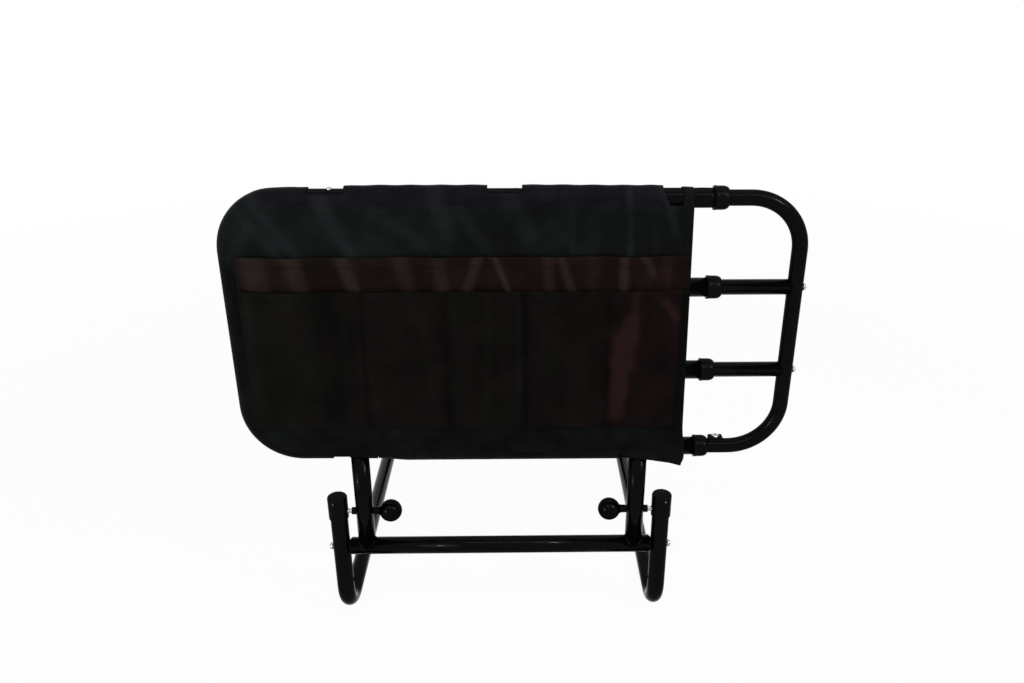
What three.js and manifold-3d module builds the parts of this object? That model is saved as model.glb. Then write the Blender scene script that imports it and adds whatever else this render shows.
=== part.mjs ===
// Folding bed guard rail: a telescoping tube panel with a cloth organizer, hinged to an L-shaped base.
// Millimetres, +Z up, +X towards the end that slides out, +Y towards the bed.
import * as THREE from "three";
import { mergeVertices } from "three/addons/utils/BufferGeometryUtils.js";
import Module from "manifold-3d";

const wasm = await Module();
wasm.setup();

// Gaps between pieces
const SEAT_GAP = 0.3;
const SLIDE_GAP = 0.6;
const CUT_OVERRUN = 2;

// Tubes of the base and of the fixed half of the panel
const TUBE_D = 22.2;
const TUBE_WALL = 1.5;
const TUBE_R = TUBE_D / 2;
const BORE_R = TUBE_R - TUBE_WALL;

// Tubes of the half that slides out
const INNER_WALL = 1.2;
const INNER_R = BORE_R - SLIDE_GAP;
const INNER_BORE_R = INNER_R - INNER_WALL;

// Facets: a multiple of 4 lays one flat face of a tube on the floor
const TUBE_SIDES = 20;
const SMALL_SIDES = 12;
const BEND_STEPS = 7;
const ROUND_STEPS = 5;
const EDGE_STEPS = 3;

// Panel, measured from the hinge axis upwards and from the middle of the base sideways
const POST_X = 172.5;
const LEFT_OVERHANG = 125.5;
const RIGHT_OVERHANG = 77.5;
const CORNER_R = 60;
const LOWEST_RAIL_Z = 145.5;
const RAIL_PITCH = 104;
const RAIL_COUNT = 4;
const LEFT_X = -POST_X - LEFT_OVERHANG;
const FIXED_END_X = POST_X + RIGHT_OVERHANG;
const RAIL_Z = Array.from({ length: RAIL_COUNT }, (_, i) => LOWEST_RAIL_Z + i * RAIL_PITCH);
const BOTTOM_Z = RAIL_Z[0];
const TOP_Z = RAIL_Z[RAIL_COUNT - 1];

// Length setting: button holes in the top tube
const FIRST_HOLE_REACH = 118;
const HOLE_PITCH = 203.2;
const HOLE_COUNT = 3;
const INNER_TAIL_LENGTH = 25;
const BUTTON_X = LEFT_X + FIRST_HOLE_REACH;
const INNER_TAIL_X = BUTTON_X - INNER_TAIL_LENGTH;

// Base
const HINGE_Z = 115;
const HINGE_GAP = 11.3;
const ARM_REACH = 508;
const ARM_BEND_R = 41;
const REAR_BAR_INSET = 40;
const STUB_X = POST_X + TUBE_D + HINGE_GAP;
const ARM_Z = TUBE_R * Math.cos(Math.PI / TUBE_SIDES);

// Lock, measured from the hinge axis upwards
const LOCK_Z = 53.6;
const STUB_ABOVE_LOCK = 19;
const STUB_TOP_Z = HINGE_Z + LOCK_Z + STUB_ABOVE_LOCK;

const MATERIALS = {
  paint: new THREE.MeshStandardMaterial({ color: 0x0b0b0c, roughness: 0.28, metalness: 0.1 }),
  plastic: new THREE.MeshStandardMaterial({ color: 0x161617, roughness: 0.6 }),
  knob: new THREE.MeshStandardMaterial({ color: 0x050505, roughness: 0.15 }),
  zinc: new THREE.MeshStandardMaterial({ color: 0xb9bcc0, roughness: 0.3, metalness: 1 }),
  spring: new THREE.MeshStandardMaterial({ color: 0x8d9094, roughness: 0.35, metalness: 1 }),
  cloth: new THREE.MeshStandardMaterial({ color: 0x121416, roughness: 0.75 }),
};

const point = (x, y, z) => new THREE.Vector3(x, y, z);
const sideName = (side) => (side < 0 ? "left" : "right");

/** A polygon with a flat side square to each axis. */
function polygon(radius, sides) {
  const corner = (i) => ((i + 0.5) * 2 * Math.PI) / sides;
  return Array.from({ length: sides }, (_, i) =>
    new THREE.Vector2(radius * Math.cos(corner(i)), radius * Math.sin(corner(i))));
}

/** A path that is sampled only where a bent tube needs a section. */
class Stations extends THREE.Curve {
  constructor(points, tangents) {
    super();
    this.points = points;
    this.tangents = tangents;
  }

  get steps() {
    return this.points.length - 1;
  }

  getPointAt(share) {
    return this.points[Math.round(share * this.steps)].clone();
  }

  getTangentAt(share) {
    return this.tangents[Math.round(share * this.steps)].clone();
  }
}

/** Straight runs between the corners, with each corner rounded to one bend radius. */
function bentPath(corners, bendR) {
  const heading = (i) => corners[i + 1].clone().sub(corners[i]).normalize();
  const points = [corners[0].clone()];
  const tangents = [heading(0)];
  for (let i = 1; i < corners.length - 1; i++) {
    const into = heading(i - 1);
    const out = heading(i);
    const angle = into.angleTo(out);
    const inward = out.clone().addScaledVector(into, -into.dot(out)).normalize();
    const start = corners[i].clone().addScaledVector(into, -bendR * Math.tan(angle / 2));
    for (let step = 0; step <= BEND_STEPS; step++) {
      const turned = (angle * step) / BEND_STEPS;
      points.push(start.clone().addScaledVector(into, bendR * Math.sin(turned))
        .addScaledVector(inward, bendR * (1 - Math.cos(turned))));
      tangents.push(into.clone().multiplyScalar(Math.cos(turned))
        .addScaledVector(inward, Math.sin(turned)));
    }
  }
  points.push(corners[corners.length - 1].clone());
  tangents.push(heading(corners.length - 2));
  return new Stations(points, tangents);
}

/** A round bar along the corners, or a tube where a bore radius is given. */
function bar(corners, radius, boreR = 0, sides = TUBE_SIDES, bendR = 0) {
  const section = new THREE.Shape(polygon(radius, sides));
  if (boreR > 0) section.holes.push(new THREE.Path(polygon(boreR, sides)));
  const path = bentPath(corners, bendR);
  return new THREE.ExtrudeGeometry(section, { steps: path.steps, extrudePath: path });
}

/** A straight bar or tube along X. */
function barX(fromX, toX, z, radius, boreR = 0, sides = TUBE_SIDES) {
  return bar([point(fromX, 0, z), point(toX, 0, z)], radius, boreR, sides);
}

/** A straight bar or tube along Z. */
function barZ(x, fromZ, toZ, radius, boreR = 0, sides = TUBE_SIDES) {
  return bar([point(x, 0, fromZ), point(x, 0, toZ)], radius, boreR, sides);
}

/** A box between two corners. */
function block(low, high) {
  const size = high.clone().sub(low);
  const middle = low.clone().add(high).multiplyScalar(0.5);
  return new THREE.BoxGeometry(size.x, size.y, size.z).translate(middle.x, middle.y, middle.z);
}

/** A turned piece: pairs of radius and height, up the outside, about the Z axis. */
function turned(profile, sides = TUBE_SIDES) {
  const outline = profile.map(([radius, height]) => new THREE.Vector2(radius, height));
  return new THREE.LatheGeometry(outline, sides).rotateX(Math.PI / 2);
}

/** A turned piece laid along X: its height runs towards the given side. */
function turnedX(profile, side, sides = TUBE_SIDES) {
  return turned(profile, sides).rotateY((side * Math.PI) / 2);
}

/** Points of a round edge, from one angle to another about a centre on the profile. */
function arc(centreR, centreHeight, radius, fromAngle, toAngle, steps = ROUND_STEPS) {
  return Array.from({ length: steps + 1 }, (_, i) => {
    const angle = fromAngle + ((toAngle - fromAngle) * i) / steps;
    return [centreR + radius * Math.cos(angle), centreHeight + radius * Math.sin(angle)];
  });
}

/** A dome's profile, from its rim up to the middle. */
function dome(radius, rimHeight, height, steps) {
  const profile = arc(0, 0, 1, 0, Math.PI / 2, steps)
    .map(([across, up]) => [across * radius, rimHeight + up * height]);
  profile[steps][0] = 0;
  return profile;
}

/** A profile that holds a bore closes on itself. */
const closedProfile = (profile) => [...profile, profile[0]];

function toSolid(geometry) {
  const bare = geometry.clone();
  bare.deleteAttribute("normal");
  bare.deleteAttribute("uv");
  const merged = mergeVertices(bare);
  return new wasm.Manifold(new wasm.Mesh({
    numProp: 3,
    vertProperties: new Float32Array(merged.attributes.position.array),
    triVerts: new Uint32Array(merged.index.array),
  }));
}

function toGeometry(solid) {
  const mesh = solid.getMesh();
  const geometry = new THREE.BufferGeometry();
  geometry.setAttribute("position", new THREE.BufferAttribute(mesh.vertProperties, 3));
  geometry.setIndex(new THREE.BufferAttribute(mesh.triVerts, 1));
  return geometry;
}

/** The body with every cutter taken away. */
function cut(body, cutters) {
  return toGeometry(cutters.reduce((rest, cutter) => rest.subtract(toSolid(cutter)), toSolid(body)));
}

/** All the bodies joined into one. */
function joined(bodies) {
  return toGeometry(bodies.slice(1).reduce((sum, body) => sum.add(toSolid(body)), toSolid(bodies[0])));
}

function add(group, name, geometry, material, position = point(0, 0, 0)) {
  const mesh = new THREE.Mesh(geometry, material);
  mesh.name = name;
  mesh.position.copy(position);
  group.add(mesh);
  return mesh;
}

/** A domed screw: the head's flat is at height 0, and the shank runs down from it. */
function screw(headR, headHeight, shankR, shankLength) {
  const headShares = [[1, 0], [1, 0.35], [0.85, 0.72], [0.5, 0.95], [0, 1]];
  return [[0, -shankLength], [shankR, -shankLength], [shankR, 0],
    ...headShares.map(([across, up]) => [headR * across, headHeight * up])];
}

// Hinge fasteners
const PIVOT_SHANK_R = 3;
const PIVOT_HEAD_R = 4.7;
const PIVOT_HEAD_HEIGHT = 4.2;
const PIVOT_HOLE_GAP = 0.4;
const PIVOT_WASHER_R = 9.5;
const PIVOT_WASHER_THICKNESS = 1.5;
const PIVOT_NUT_LENGTH = 14;

// Caps over the stubs
const CAP_WALL = 1.2;
const CAP_BELOW_LOCK = 9.4;
const CAP_TOP_WALL = 3.2;
const CAP_CROWN = 0.6;
const CAP_EDGE_R = 2.6;
const CAP_SCREW_DROP = 2.6;
const CAP_SCREW_TURN = THREE.MathUtils.degToRad(16);
const CAP_SCREW_HEAD_R = 1.9;
const CAP_SCREW_HEAD_HEIGHT = 1.1;
const CAP_SCREW_SHANK_R = 1.1;
const CAP_BORE_R = TUBE_R + SEAT_GAP;
const CAP_R = CAP_BORE_R + CAP_WALL;

// Spring-loaded lock pins
const PIN_NOSE_R = 3;
const PIN_STEM_R = 2.1;
const PIN_FROM_STUB = 7.5;
const PIN_NOSE_LENGTH = 13.5;
const PIN_IN_KNOB = 10;
const PIN_CHAMFER = 0.5;
const BARREL_R = 4.7;
const BARREL_BORE_R = 3.6;
const BARREL_PROUD = 5;
const BARREL_END_WALL = 3;
const KNOB_R = 14.3;
const KNOB_FROM_POST = 33.2;
const KNOB_POST_GAP = 0.8;
const KNOB_NECK_R = 4.4;
const KNOB_NECK_END_R = 6.4;
const SPRING_WIRE_R = 0.35;
const SPRING_MEAN_R = 2.85;
const SPRING_CURLS = 6;
const SPRING_STEPS_PER_CURL = 8;
const SPRING_WIRE_SIDES = 5;

// Plugs in open tube ends
const PLUG_FLANGE = 2;
const PLUG_DEPTH = 12;
const GLIDE_DEPTH = 9;

// Closed, the fixed tube's end, its collar, the stop block and the end tube's bend follow each other
const COLLAR_LIP = 7.6;
const STOP_LENGTH = 17;
const STOP_TO_BEND = 7.3;
const STOP_X = FIXED_END_X + COLLAR_LIP + 2 * SEAT_GAP + STOP_LENGTH / 2;
const END_X = STOP_X + STOP_LENGTH / 2 + STOP_TO_BEND + CORNER_R;

// Collars where the inner tubes leave the fixed ones
const COLLAR_WALL = 1.8;
const COLLAR_ON_TUBE = 10.2;
const COLLAR_RING_LENGTH = 3;
const COLLAR_RING_RISE = 0.6;
const COLLAR_EDGE_R = 3.6;
const COLLAR_BORE_GAP = 0.35;

// Snap button and its spring
const BUTTON_R = 3.1;
const BUTTON_HOLE_GAP = 0.45;
const BUTTON_PROUD = 2;
const BUTTON_FLANGE_R = 4.4;
const BUTTON_FLANGE = 1;
const BUTTON_FLANGE_Z = 5;
const LEAF_THICKNESS = 0.6;
const LEAF_HALF_WIDTH = 3.4;
const LEAF_LENGTH = 13;
const LEAF_PAST_BUTTON = 3;

// Bolts that hold the sliding middle rails to the end tube
const RAIL_BOLT_SHANK_R = 2.5;
const RAIL_BOLT_HEAD_R = 4.4;
const RAIL_BOLT_HEAD_HEIGHT = 3.4;
const RAIL_BOLT_GRIP = 12;
const INSERT_LENGTH = 16;
const SCREW_HOLE_GAP = 0.4;

// Stop block on the lowest sliding tube
const STOP_HALF_WIDTH = 5;
const STOP_HEIGHT = 4.8;
const STOP_SCREW_HEAD_R = 4.2;
const STOP_SCREW_HEAD_HEIGHT = 1.8;
const STOP_SCREW_SHANK_R = 1.6;

// Cloth organizer over the fixed half
const CLOTH = 1.2;
const CLOTH_GAP = 0.6;
const CLOTH_FLAT = 0.4;
const CLOTH_ARC_STEPS = 8;
const COVER_END_INSET = 30;
const SOCK_FROM_POST = 31.5;
const BACK_FLAP = 42;
const TOP_EDGE_RISE = 5.5;
const GAP_PAST_BUTTON = 16;
const MIDDLE_GAP_BEFORE_HOLE = 31.7;
const MIDDLE_GAP_PAST_HOLE = 6.3;
const END_STRAP = 17;
const END_GAP = 20;
const POST_SLOT = 25;
const SKIRT_DROP = 9;
const FLAP_WIDTH = 36;
const FLAP_DROP = 16;
const FLAP_CORNER_DROP = 21;
const COVER_BORE_R = TUBE_R + CLOTH_GAP;
const COVER_R = COVER_BORE_R + CLOTH;
const COVER_RIGHT_X = FIXED_END_X - COVER_END_INSET;
const SOCK_END_X = -POST_X - SOCK_FROM_POST;
const MIDDLE_HOLE_X = BUTTON_X + HOLE_PITCH;
const FLAP_X = COVER_RIGHT_X - FLAP_WIDTH;
const TOP_GAPS = [
  [SOCK_END_X, BUTTON_X + GAP_PAST_BUTTON],
  [MIDDLE_HOLE_X - MIDDLE_GAP_BEFORE_HOLE, MIDDLE_HOLE_X + MIDDLE_GAP_PAST_HOLE],
  [COVER_RIGHT_X - END_STRAP - END_GAP, COVER_RIGHT_X - END_STRAP],
];
const LOW_GAPS = [
  [SOCK_END_X, -POST_X + POST_SLOT],
  [POST_X - POST_SLOT, COVER_RIGHT_X + CUT_OVERRUN],
];
const SKIRTS = [
  [SOCK_END_X, -POST_X + POST_SLOT, SKIRT_DROP, SKIRT_DROP],
  [POST_X - POST_SLOT, FLAP_X, SKIRT_DROP, SKIRT_DROP],
  [FLAP_X, COVER_RIGHT_X, FLAP_DROP, FLAP_CORNER_DROP],
];

// Pockets: the rear one is a single wide pocket, the front one has sewn dividers
const POCKET_END_INSET = 8;
const POCKET_RIGHT_INSET = 3;
const POCKET_FLOOR_RISE = 34.5;
const REAR_POCKET_DROP = 61.5;
const FRONT_POCKET_DROP = 100.5;
const POCKET_DEPTH = 5;
const POCKET_DIVIDER_SHARES = [0.268, 0.458, 0.637, 0.826];
const POCKET_LEFT_X = LEFT_X + POCKET_END_INSET;
const POCKET_RIGHT_X = COVER_RIGHT_X - POCKET_RIGHT_INSET;
const POCKET_LOW_Z = BOTTOM_Z + POCKET_FLOOR_RISE;

const FRAME_TUBE = [TUBE_R, BORE_R];
const pivotHoleR = PIVOT_SHANK_R + PIVOT_HOLE_GAP;
const buttonHoleR = BUTTON_R + BUTTON_HOLE_GAP;

/** Cuts the round saddle where a tube meets another that runs along the corners given. */
const saddle = (corners) => bar(corners, TUBE_R + SEAT_GAP);

const capScrewZ = () => STUB_TOP_Z - CAP_SCREW_DROP;

/** The direction that a cap screw faces: to the front, turned a little outwards. */
const capScrewAxis = (side) => point(side * Math.sin(CAP_SCREW_TURN), -Math.cos(CAP_SCREW_TURN), 0);

const capScrewPlace = (side, distance) =>
  point(side * STUB_X, 0, capScrewZ()).addScaledVector(capScrewAxis(side), distance);

/** The hole that a cap screw goes through, from the stub's axis out to the distance given. */
const capScrewHole = (side, distance) =>
  bar([point(side * STUB_X, 0, capScrewZ()), capScrewPlace(side, distance)],
    CAP_SCREW_SHANK_R + SCREW_HOLE_GAP, 0, SMALL_SIDES);

/** A hole that the lock pin enters, in the stub and its cap, at a height from the hinge. */
const lockHole = (side, distance, height) =>
  barX(side * (STUB_X - distance), side * STUB_X, HINGE_Z + height, PIN_NOSE_R + SLIDE_GAP, 0, SMALL_SIDES);

/** One L-shaped arm: a stub with the lock's upper and lower hole, and a leg that runs back. */
function arm(side) {
  const x = side * STUB_X;
  const corners = [point(x, 0, STUB_TOP_Z), point(x, 0, ARM_Z), point(x, ARM_REACH, ARM_Z)];
  const inside = side * (STUB_X - TUBE_R - CUT_OVERRUN);
  const outside = side * (STUB_X + TUBE_R + CUT_OVERRUN);
  return cut(bar(corners, TUBE_R, BORE_R, TUBE_SIDES, ARM_BEND_R), [
    barX(inside, outside, HINGE_Z, pivotHoleR, 0, SMALL_SIDES),
    lockHole(side, TUBE_R + CUT_OVERRUN, LOCK_Z),
    lockHole(side, TUBE_R + CUT_OVERRUN, -LOCK_Z),
    capScrewHole(side, TUBE_R + CUT_OVERRUN),
  ]);
}

/** The cap over a stub: a sleeve with the lock hole, closed by a slightly crowned top with a round edge. */
function stubCap(side) {
  const socketTop = STUB_TOP_Z + SEAT_GAP;
  const low = HINGE_Z + LOCK_Z - CAP_BELOW_LOCK;
  const top = STUB_TOP_Z + CAP_TOP_WALL;
  const cap = turned([[0, socketTop], [CAP_BORE_R, socketTop], [CAP_BORE_R, low], [CAP_R, low],
    ...arc(CAP_R - CAP_EDGE_R, top - CAP_EDGE_R, CAP_EDGE_R, 0, Math.PI / 2, EDGE_STEPS),
    [0, top + CAP_CROWN]]);
  return cut(cap.translate(side * STUB_X, 0, 0), [
    lockHole(side, CAP_R + CUT_OVERRUN, LOCK_Z),
    capScrewHole(side, CAP_R + CUT_OVERRUN),
  ]);
}

function capScrew(group, side) {
  const shankLength = CAP_R + SEAT_GAP - BORE_R;
  const profile = screw(CAP_SCREW_HEAD_R, CAP_SCREW_HEAD_HEIGHT, CAP_SCREW_SHANK_R, shankLength);
  const place = capScrewPlace(side, CAP_R + SEAT_GAP);
  const mesh = add(group, `cap_screw_${sideName(side)}`, turned(profile, SMALL_SIDES), MATERIALS.zinc, place);
  mesh.quaternion.setFromUnitVectors(point(0, 0, 1), capScrewAxis(side));
}

/** A push-in plug: a flange outside the tube's end and a spigot in its bore. */
const plug = (flangeR, flange, spigotR, depth) =>
  turned([[0, -depth], [spigotR, -depth], [spigotR, 0], [flangeR, 0], [flangeR, flange], [0, flange]]);

/** The hinge's bolt, washer and round nut: the bolt holds the nut to the stub, and the bar turns on it. */
function pivot(group, side) {
  const name = sideName(side);
  const headX = STUB_X + TUBE_R + SEAT_GAP;
  const washerX = STUB_X - TUBE_R - SEAT_GAP - PIVOT_WASHER_THICKNESS;
  const nutX = washerX - SEAT_GAP - PIVOT_NUT_LENGTH;
  const profile = screw(PIVOT_HEAD_R, PIVOT_HEAD_HEIGHT, PIVOT_SHANK_R, headX - nutX);
  const bolt = turnedX(profile, side, SMALL_SIDES);
  add(group, `pivot_bolt_${name}`, bolt, MATERIALS.zinc, point(side * headX, 0, HINGE_Z));
  const washer = closedProfile([[pivotHoleR, 0], [PIVOT_WASHER_R, 0],
    [PIVOT_WASHER_R, PIVOT_WASHER_THICKNESS], [pivotHoleR, PIVOT_WASHER_THICKNESS]]);
  add(group, `pivot_washer_${name}`, turnedX(washer, side), MATERIALS.plastic,
    point(side * washerX, 0, HINGE_Z));
  const nutBoreR = PIVOT_SHANK_R + SEAT_GAP;
  const nutR = BORE_R - SLIDE_GAP;
  const nut = closedProfile([[nutBoreR, 0], [nutR, 0],
    [nutR, PIVOT_NUT_LENGTH], [nutBoreR, PIVOT_NUT_LENGTH]]);
  add(group, `pivot_nut_${name}`, turnedX(nut, side), MATERIALS.zinc, point(side * nutX, 0, HINGE_Z));
}

function base() {
  const group = new THREE.Group();
  const armPlug = plug(ARM_Z, PLUG_FLANGE, BORE_R - SEAT_GAP, PLUG_DEPTH).rotateX(-Math.PI / 2);
  for (const side of [-1, 1]) {
    const name = sideName(side);
    add(group, `arm_${name}`, arm(side), MATERIALS.paint);
    add(group, `arm_plug_${name}`, armPlug, MATERIALS.plastic,
      point(side * STUB_X, ARM_REACH + SEAT_GAP, ARM_Z));
    add(group, `stub_cap_${name}`, stubCap(side), MATERIALS.plastic);
    capScrew(group, side);
    pivot(group, side);
  }
  const rearY = ARM_REACH - REAR_BAR_INSET;
  const armSaddle = (x) => saddle([point(x, rearY - TUBE_D, ARM_Z), point(x, rearY + TUBE_D, ARM_Z)]);
  const rearBar = bar([point(-STUB_X, rearY, ARM_Z), point(STUB_X, rearY, ARM_Z)], TUBE_R, BORE_R);
  add(group, "rear_crossbar", cut(rearBar, [armSaddle(-STUB_X), armSaddle(STUB_X)]), MATERIALS.paint);
  return group;
}

/** A tube that stands between two level ones and is shaped to both. */
function upright(x, lowZ, highZ) {
  const across = (z) => [point(x - TUBE_D, 0, z), point(x + TUBE_D, 0, z)];
  return cut(barZ(x, lowZ, highZ, ...FRAME_TUBE), [saddle(across(lowZ)), saddle(across(highZ))]);
}

/** A post, from the hinge crossbar up to the lowest rail, bored for the lock. */
function post(side) {
  const x = side * POST_X;
  const reach = TUBE_R + CUT_OVERRUN;
  return cut(upright(x, 0, BOTTOM_Z), [
    barX(x - reach, x + reach, LOCK_Z, BARREL_R + SEAT_GAP, 0, SMALL_SIDES),
  ]);
}

/** The fixed loop: top tube, left-hand upright and lowest tube in one bent length, with button holes. */
function fixedLoop() {
  const corners = [point(FIXED_END_X, 0, TOP_Z), point(LEFT_X, 0, TOP_Z),
    point(LEFT_X, 0, BOTTOM_Z), point(FIXED_END_X, 0, BOTTOM_Z)];
  const holes = Array.from({ length: HOLE_COUNT }, (_, i) =>
    barZ(BUTTON_X + i * HOLE_PITCH, TOP_Z, TOP_Z + TUBE_D, buttonHoleR, 0, SMALL_SIDES));
  return cut(bar(corners, TUBE_R, BORE_R, TUBE_SIDES, CORNER_R), holes);
}

/** A fixed middle rail, shaped to the left-hand upright. */
function fixedRail(z) {
  const upright = saddle([point(LEFT_X, 0, z - TUBE_D), point(LEFT_X, 0, z + TUBE_D)]);
  return cut(barX(LEFT_X, FIXED_END_X, z, ...FRAME_TUBE), [upright]);
}

/** A collar: a ring and sleeve on the fixed tube, and a rounded lip that closes on the inner tube. */
function collar() {
  const seatR = TUBE_R + SEAT_GAP;
  const outerR = seatR + COLLAR_WALL;
  const lipR = INNER_R + COLLAR_BORE_GAP;
  const end = SEAT_GAP + COLLAR_LIP;
  return turnedX(closedProfile([
    [seatR, -COLLAR_ON_TUBE], [outerR + COLLAR_RING_RISE, -COLLAR_ON_TUBE],
    [outerR + COLLAR_RING_RISE, COLLAR_RING_LENGTH - COLLAR_ON_TUBE],
    [outerR, COLLAR_RING_LENGTH + COLLAR_RING_RISE - COLLAR_ON_TUBE],
    ...arc(outerR - COLLAR_EDGE_R, end - COLLAR_EDGE_R, COLLAR_EDGE_R, 0, Math.PI / 2, EDGE_STEPS),
    [lipR, end], [lipR, SEAT_GAP], [seatR, SEAT_GAP],
  ]), 1);
}

/** The barrel that the lock pin slides in: open towards the stub, with an end wall for the spring. */
const barrelLength = () => 2 * TUBE_R + BARREL_PROUD;
const barrel = (side) => turnedX(closedProfile([
  [PIN_STEM_R + SEAT_GAP, 0], [BARREL_R, 0], [BARREL_R, barrelLength()],
  [BARREL_BORE_R, barrelLength()], [BARREL_BORE_R, BARREL_END_WALL], [PIN_STEM_R + SEAT_GAP, BARREL_END_WALL],
]), side, SMALL_SIDES);

// Heights along a lock pin, from the barrel's inner end towards the stub
const pinTip = () => STUB_X - PIN_FROM_STUB - (POST_X - TUBE_R);
const pinShoulder = () => pinTip() - PIN_NOSE_LENGTH;

/** A coil about X between two heights. */
class Helix extends THREE.Curve {
  constructor(radius, fromX, toX, curls) {
    super();
    Object.assign(this, { radius, fromX, toX, curls });
  }

  getPoint(share) {
    const angle = 2 * Math.PI * this.curls * share;
    const x = this.fromX + (this.toX - this.fromX) * share;
    return point(x, this.radius * Math.cos(angle), this.radius * Math.sin(angle));
  }
}

function lockSpring(side) {
  const low = BARREL_END_WALL + SPRING_WIRE_R + SEAT_GAP;
  const high = pinShoulder() - SPRING_WIRE_R - SEAT_GAP;
  const coil = new Helix(SPRING_MEAN_R, side * low, side * high, SPRING_CURLS);
  const wire = new THREE.Shape(polygon(SPRING_WIRE_R, SPRING_WIRE_SIDES));
  return new THREE.ExtrudeGeometry(wire, { steps: SPRING_CURLS * SPRING_STEPS_PER_CURL, extrudePath: coil });
}

/** The lock pin: a nose for the stub's hole and a thinner stem that carries the spring and the knob. */
function lockPin(side) {
  const low = -KNOB_POST_GAP - PIN_IN_KNOB;
  return turnedX([[0, low], [PIN_STEM_R, low], [PIN_STEM_R, pinShoulder()], [PIN_NOSE_R, pinShoulder()],
    [PIN_NOSE_R, pinTip() - PIN_CHAMFER], [PIN_NOSE_R - PIN_CHAMFER, pinTip()], [0, pinTip()]],
  side, SMALL_SIDES);
}

/** The ball knob: a tapered neck that widens into a ball, bored for the stem. */
function lockKnob(side) {
  const ballX = KNOB_FROM_POST - TUBE_R;
  const neckMeet = Math.asin(KNOB_NECK_END_R / KNOB_R);
  const boreEnd = KNOB_POST_GAP + PIN_IN_KNOB + SEAT_GAP;
  const boreR = PIN_STEM_R + SEAT_GAP;
  const ball = arc(0, ballX, KNOB_R, neckMeet - Math.PI / 2, Math.PI / 2, 2 * ROUND_STEPS);
  ball[ball.length - 1][0] = 0;
  return turnedX([[0, boreEnd], [boreR, boreEnd], [boreR, KNOB_POST_GAP], [KNOB_NECK_R, KNOB_POST_GAP],
    ...ball], -side);
}

/** The cover's full shape with rounded edges, open-ended on the right where it is cut later. */
function pillow(radius, rightX) {
  const cornerR = CORNER_R + radius;
  const left = LEFT_X - radius;
  const low = BOTTOM_Z - radius;
  const high = TOP_Z + radius;
  const edge = radius - CLOTH_FLAT / 2;
  const outline = new THREE.Shape();
  outline.moveTo(rightX, low);
  outline.lineTo(rightX, high);
  outline.lineTo(left + cornerR, high);
  outline.absarc(left + cornerR, high - cornerR, cornerR, Math.PI / 2, Math.PI);
  outline.lineTo(left, low + cornerR);
  outline.absarc(left + cornerR, low + cornerR, cornerR, Math.PI, 1.5 * Math.PI);
  outline.closePath();
  return new THREE.ExtrudeGeometry(outline, {
    depth: CLOTH_FLAT, curveSegments: CLOTH_ARC_STEPS,
    bevelThickness: edge, bevelSize: edge, bevelOffset: -edge, bevelSegments: EDGE_STEPS,
  }).rotateX(Math.PI / 2).translate(0, CLOTH_FLAT / 2, 0);
}

/** The cover: a sock over the left-hand end, a front sheet, and sleeves round the top and lowest tubes. */
function pouchCover() {
  const farX = END_X;
  const far = TUBE_D;
  const lowSide = BOTTOM_Z - far;
  const highSide = TOP_Z + far;
  const cuts = [
    pillow(COVER_BORE_R, farX + far),
    block(point(COVER_RIGHT_X, -far, lowSide), point(farX + far, far, highSide)),
    block(point(SOCK_END_X, 0, BOTTOM_Z + BACK_FLAP), point(farX, far, TOP_Z - BACK_FLAP)),
  ];
  for (const [fromX, toX] of TOP_GAPS) {
    cuts.push(block(point(fromX, -far, TOP_Z + TOP_EDGE_RISE), point(toX, far, highSide)));
    cuts.push(block(point(fromX, 0, TOP_Z - BACK_FLAP - CUT_OVERRUN), point(toX, far, highSide)));
  }
  for (const [fromX, toX] of LOW_GAPS) {
    cuts.push(block(point(fromX, -far, lowSide), point(toX, far, BOTTOM_Z)));
    cuts.push(block(point(fromX, 0, lowSide), point(toX, far, BOTTOM_Z + BACK_FLAP + CUT_OVERRUN)));
  }
  return joined([cut(pillow(COVER_R, farX), cuts), ...SKIRTS.map(skirt)]);
}

/** A stretch of the front sheet that hangs straight, past the lowest tube, to its own two depths. */
function skirt([leftX, rightX, leftDrop, rightDrop]) {
  const high = BOTTOM_Z + CUT_OVERRUN;
  const outline = new THREE.Shape([
    new THREE.Vector2(leftX, high), new THREE.Vector2(leftX, BOTTOM_Z - leftDrop),
    new THREE.Vector2(rightX, BOTTOM_Z - rightDrop), new THREE.Vector2(rightX, high),
  ]);
  return new THREE.ExtrudeGeometry(outline, { depth: CLOTH, bevelEnabled: false })
    .rotateX(Math.PI / 2).translate(0, -COVER_BORE_R, 0);
}

/** A flat pocket: a front sheet with a floor, ends and sewn dividers, open at the top and behind. */
function pocket(backY, highZ, dividerShares) {
  const frontY = backY - POCKET_DEPTH - CLOTH;
  const width = POCKET_RIGHT_X - POCKET_LEFT_X;
  const seams = [0, ...dividerShares, 1].map((share) => POCKET_LEFT_X + share * width);
  const body = block(point(POCKET_LEFT_X, frontY, POCKET_LOW_Z), point(POCKET_RIGHT_X, backY, highZ));
  const rooms = seams.slice(1).map((seam, i) => block(
    point(seams[i] + CLOTH, frontY + CLOTH, POCKET_LOW_Z + CLOTH),
    point(seam - CLOTH, backY + CUT_OVERRUN, highZ + CUT_OVERRUN)));
  return cut(body, rooms);
}

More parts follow.
